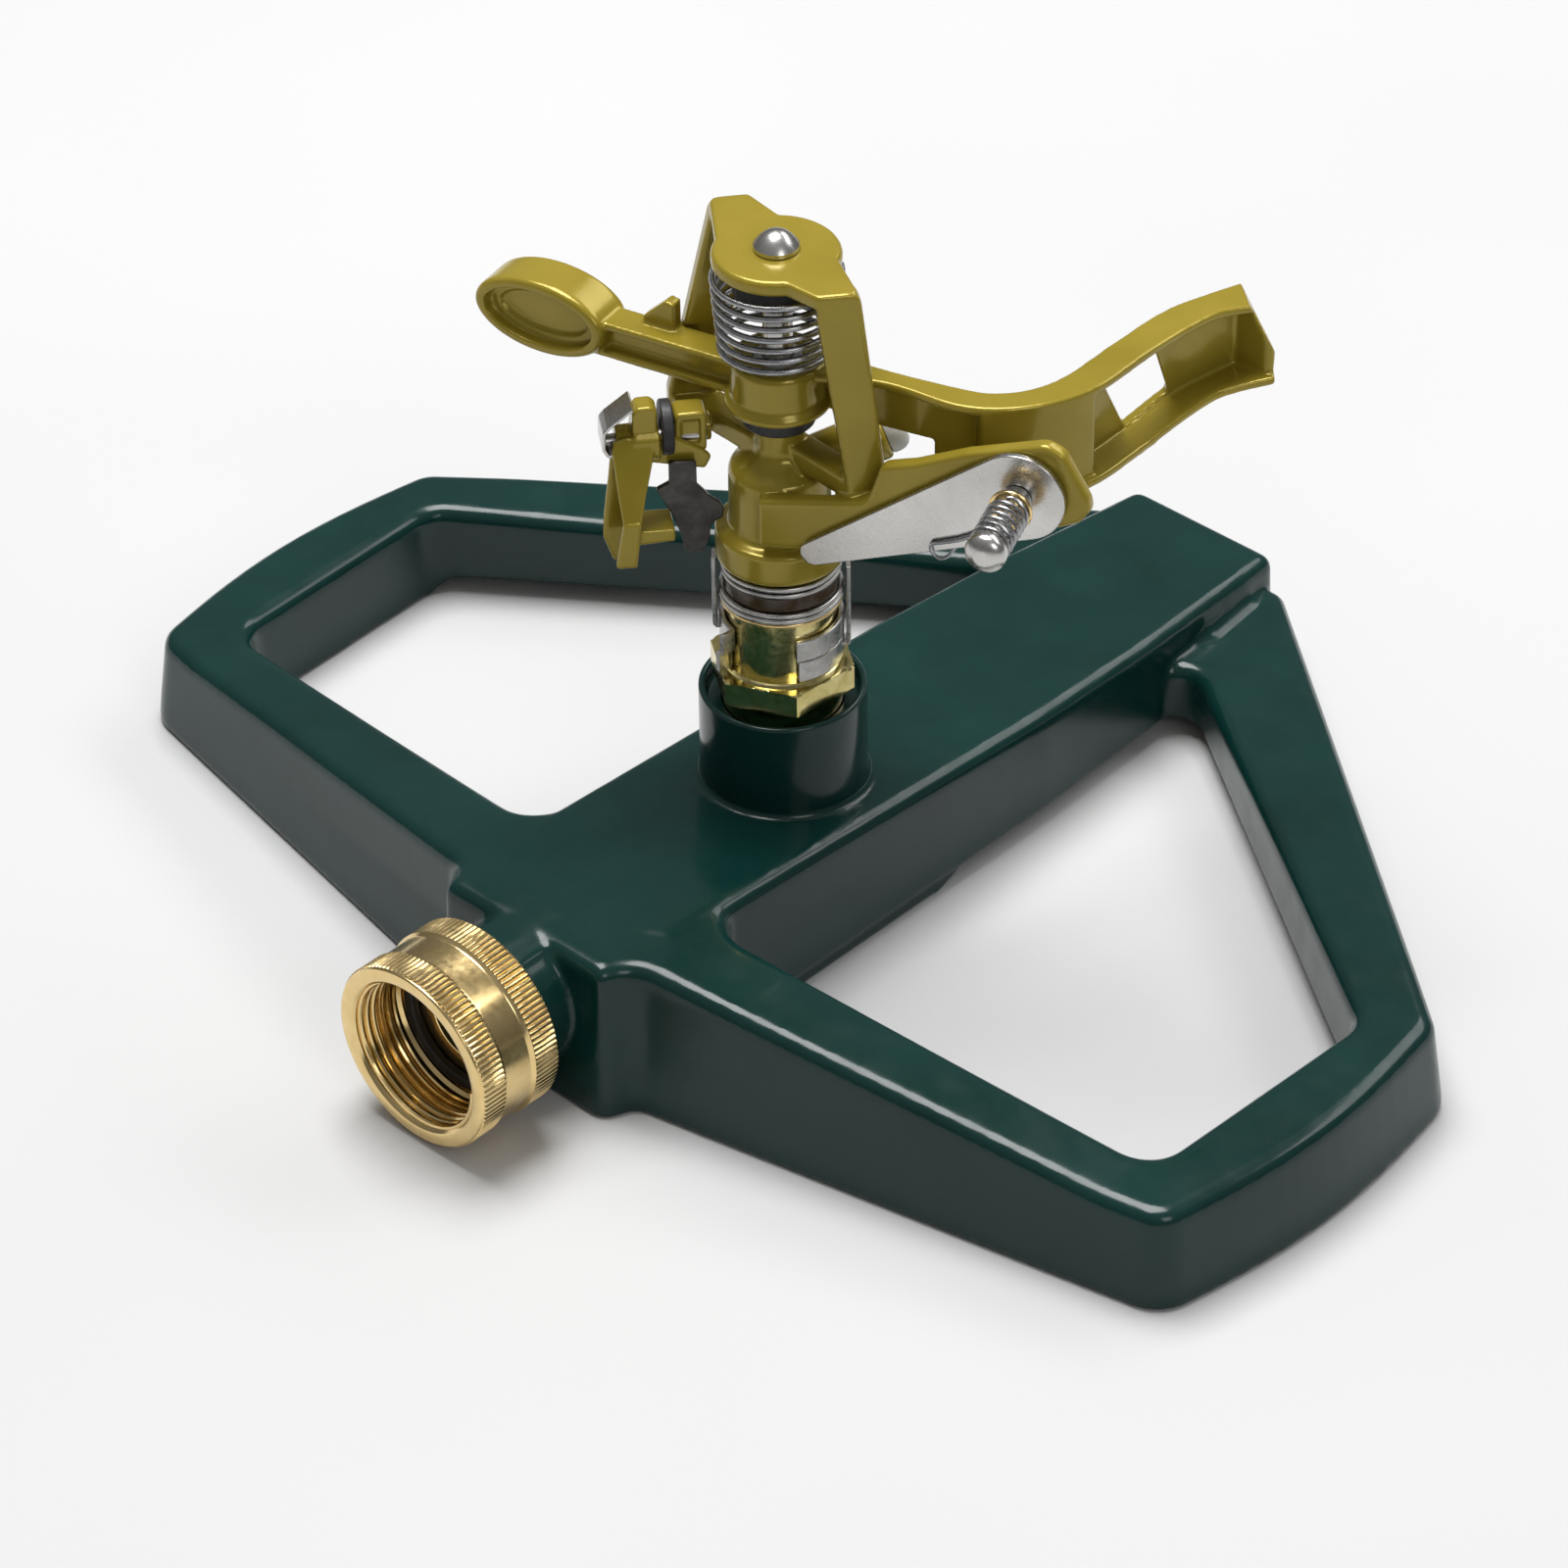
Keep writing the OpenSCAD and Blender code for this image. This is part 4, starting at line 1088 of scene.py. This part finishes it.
piece(prism("deflector", wedge(), WALL_FAR + 0.4, WALL_FAR + 1.6, 0.22,
            IN_HEAD @ upright(BRACKET_TURN), [circle(1.7, 40, (PIVOT_S, PIVOT_Z))[::-1]]),
      "deflector", "polished_steel", "deflector_plate")
KNOB_R = 3.5
KNOB = [(1.5, KNOB_Z - 0.9), (3.0, KNOB_Z - 0.8), (3.4, KNOB_Z - 0.5), (KNOB_R, KNOB_Z - 0.1),
        (KNOB_R, KNOB_Z + 0.6)]
KNOB += [(KNOB_R * math.cos(t), KNOB_Z + 0.6 + 2.1 * math.sin(t)) for t in quarter(10)[1:9]]
piece(turned("deflector_axle", [(0, -3), (1.6, -3), (1.6, 1.7), (2.5, 1.8), (2.6, 2.0), (2.6, 4.8),
                               (1.5, 5.4), *KNOB, (0.5, KNOB_Z + 2.55), (0, KNOB_Z + 2.5)],
             ON_PIN, 72), "head", "polished_steel", "deflector_pin")
piece(washer("deflector_seat", 1.55, 3.7, 4.6, 5.4, 0.25, ON_PIN), "head", "bright_brass",
      "deflector_washer")
# The wire ends in a hook round the lower edge of the plate
TAIL = [(-2.0, -4.2, 4.2), (-5.6, -7.4, 2.6), (-9.3, -9.8, 2.3), (-12.8, -11.3, 2.2),
        (-14.4, -12.0, 2.0), (-14.4, -13.6, 1.8), (-13.2, -15.0, 1.4), (-11.8, -14.4, 1.0),
        (-10.8, -12.8, 0.6)]
COIL = coil(6.25, 3.2, 3.2, KNOB_Z - 1.3, 6.0)
piece(swept("deflector_coil", COIL + smooth_line(TAIL), 0.33, ON_PIN, 10), "head", "spring_steel",
      "deflector_spring")

# ---- trip mechanism ----

BLADE_FOOT = Matrix.Translation((0, 84, 5.4)) @ Matrix.Rotation(math.radians(-20), 4, "X")
BLADE = [(-26.9, 0), (-27.5, 6.7), (-27.9, 13.2), (-27.6, 15), (-25.2, 15.6), (-21.0, 14.2),
         (-21.2, 11.3), (-22.8, 5.2), (-23.9, 0.3)]
BLADE_TIP = [(-26.9, 84.6), (-28.4, 76.0), (-24.8, 75.8), (-23.8, 84.8)]
REAR_PLATE = [(-27.8, 96), (-23, 96), (-24.6, 78), (-26.2, 73.2), (-28.0, 73.0), (-29.6, 78),
              (-29.4, 82), (-28.4, 90)]
TRIP_ARM = [(-26, 97.6), (-17.4, 97.2), (-12.6, 94.3), (-11.2, 92.7), (-12.3, 90.4), (-15.9, 91.3),
            (-25, 93.4)]
TRIP_CHEEK = [(-24.3, 94), (-20.1, 94), (-20.1, 102.8), (-21, 103.8), (-23.4, 103.8), (-24.3, 102.6)]
PAWL = [(-20.9, 88.2), (-19.7, 85.9), (-18.2, 82.7), (-16.8, 78.5), (-16.3, 75.7), (-15.1, 74.8),
        (-13.2, 74.9), (-12.1, 77), (-11.8, 79.9), (-11.2, 80.6), (-9.8, 81.4), (-9.5, 83),
        (-10.1, 84.4), (-11.9, 85.9), (-12.7, 87), (-14, 88.6), (-14, 93.1), (-18.6, 93.4),
        (-18.6, 89.4)]


def trip_plate(name, outline, y0, y1, r, edge):
    """A plate of the trip, drawn from the front, between two depths behind the head's axis."""
    return prism(name, counterclockwise(rounded(outline, r, 4)), -y1, -y0, edge, ACROSS)


def trip_lever():
    parts = [
        turned("trip_hex", [(0, -24.2), (4.3, -24.2), (4.3, -19.9), (0, -19.9)], ON_TRIP, 120,
               shape=hexagonal(4.3, 0, 0.2, -24.2, -19.9)),
        rod("trip_sleeve", 2.7, -27, -19.8, ON_TRIP),
        prism("trip_blade", counterclockwise(rounded(BLADE, 0.5, 4)), -1.5, 0, 0.35,
              ACROSS @ BLADE_FOOT),
        trip_plate("trip_blade_tip", BLADE_TIP, -5.4, -3.9, 0.5, 0.35),
        trip_plate("trip_rear", REAR_PLATE, 1.4, 2.6, 0.6, 0.35),
        trip_plate("trip_arm", TRIP_ARM, 0.6, 1.8, 0.6, 0.35),
        trip_plate("trip_web", rect(-26.6, 93.6, -20.6, 97.4), 0, 3, 0.5, 0.3),
        trip_plate("trip_cheek", TRIP_CHEEK, 0.2, 4.2, 0.8, 0.4),
        trip_plate("trip_finger", [(-25.4, 79.6), (-18.2, 79.9), (-18.2, 82.2), (-25.4, 82.4)], -4.4,
                   2.2, 0.4, 0.3)]
    return fused("trip", parts, 0.2, 4)


piece(trip_lever(), "trip", "olive_enamel", "trip_lever")
piece(trip_plate("pawl", PAWL, -1, 0, 0.5, 0.2), "trip", "dark_steel", "trip_pawl")
piece(turned("trip_axle", [(0, -28.8), (1.0, -28.8), (1.25, -28.6), (1.25, -11.9), (1.0, -11.6),
                           (0, -11.6)], ON_TRIP, 40), "trip", "sheet_steel", "trip_shaft")
piece(washer("trip_spacer", 1.25, 4.7, -19.4, -17.5, 0.3, ON_TRIP @ Matrix.Translation((-1.8, 0, 0)),
             64), "trip", "black_rubber", "trip_washer")
# Bent strip, from its inner end over the top to the curl at its outer end
CLIP = [(-24.2, 104.0), (-28.3, 100.8), (-29.1, 99.8), (-29.2, 96.6), (-28.4, 95.2), (-27.4, 95.4)]
piece(prism("trip_clip", counterclockwise(band(rounded(CLIP, 0.5, 3, False), 0.6)), -5.4, 0.4, 0.2,
            ACROSS), "trip", "polished_steel", "trip_spring")

# ---- CAD nodes that stay, with their materials ----

for row in frame["record"]["subparts"]:
    node = frame["nodes"][row["node"]]
    if not node.hide_render:
        node.data.materials.clear()
        node.data.materials.append(LOOKS[row["material_slot"]])

# ---- stage, light and camera ----


def floor():
    """A pale flat floor that fills the picture."""
    made = Mesh()
    ring = made.ring([(5000 * math.cos(a), 5000 * math.sin(a), 0)
                      for a in [math.tau * k / 64 for k in range(64)]])
    made.fan(ring, made.ring([(0, 0, 0)])[0], True)
    obj = made.build("floor")
    look = Look("floor").set(Roughness=0.7, Specular_IOR_Level=0.2)
    look.colour(look.ramp(look.noise(4, 2), [(0.3, (0.55, 0.55, 0.55)), (0.7, (0.58, 0.58, 0.58))]))
    obj.data.materials.append(look.bump((look.noise(300, 2), 0.02)).m)


# Name, place and size in metres, power in watts
LAMPS = (("key", (-0.35, 0.15, 1.6), (0.9, 0.9), 34), ("fill", (1.3, -0.5, 1.0), (0.6, 0.6), 4),
         ("back", (0.3, 1.3, 1.3), (1.6, 0.5), 10))
LAMPS_AIM = Vector((0, 0, 0.05))


def softbox(name, place, size, power):
    lamp = bpy.data.lights.new(name, "AREA")
    lamp.shape, lamp.size, lamp.size_y = "RECTANGLE", *size
    lamp.energy = power
    obj = added(name, lamp)
    obj.location = place
    obj.rotation_euler = (LAMPS_AIM - Vector(place)).to_track_quat("-Z", "Y").to_euler()


def world():
    """Dim near the horizon and even overhead, like a tent of grey cloth."""
    made = bpy.data.worlds.new("studio")
    made.use_nodes = True
    nodes, links = made.node_tree.nodes, made.node_tree.links
    place = nodes.new("ShaderNodeTexCoord").outputs["Generated"]
    split = nodes.new("ShaderNodeSeparateXYZ")
    ramp = nodes.new("ShaderNodeValToRGB")
    bar = ramp.color_ramp.elements
    bar.new(0.5)
    for e, (at, level) in zip(bar, ((0.0, 0.14), (0.62, 0.32), (0.95, 0.42))):
        e.position, e.color = at, (level, level, level, 1)
    links.new(place, split.inputs[0])
    links.new(split.outputs["Z"], ramp.inputs["Fac"])
    links.new(ramp.outputs["Color"], nodes["Background"].inputs["Color"])
    nodes["Background"].inputs["Strength"].default_value = 0.8
    bpy.context.scene.world = made


AZIMUTH, ELEVATION, ROLL, DISTANCE = 43.56, 37.51, -0.85, 1034.0
AIM, SIDE_STEP, UP_STEP, LENS = Vector((0, 0, 60)), 0.39, -29.0, 140.65


def camera():
    az, el, roll = (math.radians(v) for v in (AZIMUTH, ELEVATION, ROLL))
    w = Vector((-math.sin(az) * math.cos(el), math.cos(az) * math.cos(el), -math.sin(el)))
    r = Vector((math.cos(az), math.sin(az), 0))
    u = r.cross(w)
    r, u = (r * math.cos(roll) + u * math.sin(roll), u * math.cos(roll) - r * math.sin(roll))
    at = AIM - w * DISTANCE + r * SIDE_STEP + u * UP_STEP
    data = bpy.data.cameras.new("camera")
    data.lens, data.sensor_width, data.clip_start, data.clip_end = LENS, 36.0, 0.01, 50.0
    obj = added("camera", data)
    obj.matrix_world = Matrix(((r.x, u.x, -w.x, at.x * MM), (r.y, u.y, -w.y, at.y * MM),
                               (r.z, u.z, -w.z, at.z * MM), (0, 0, 0, 1)))
    bpy.context.scene.camera = obj


floor()
world()
for lamp in LAMPS:
    softbox(*lamp)
camera()
bpy.context.scene.view_settings.view_transform = "Standard"
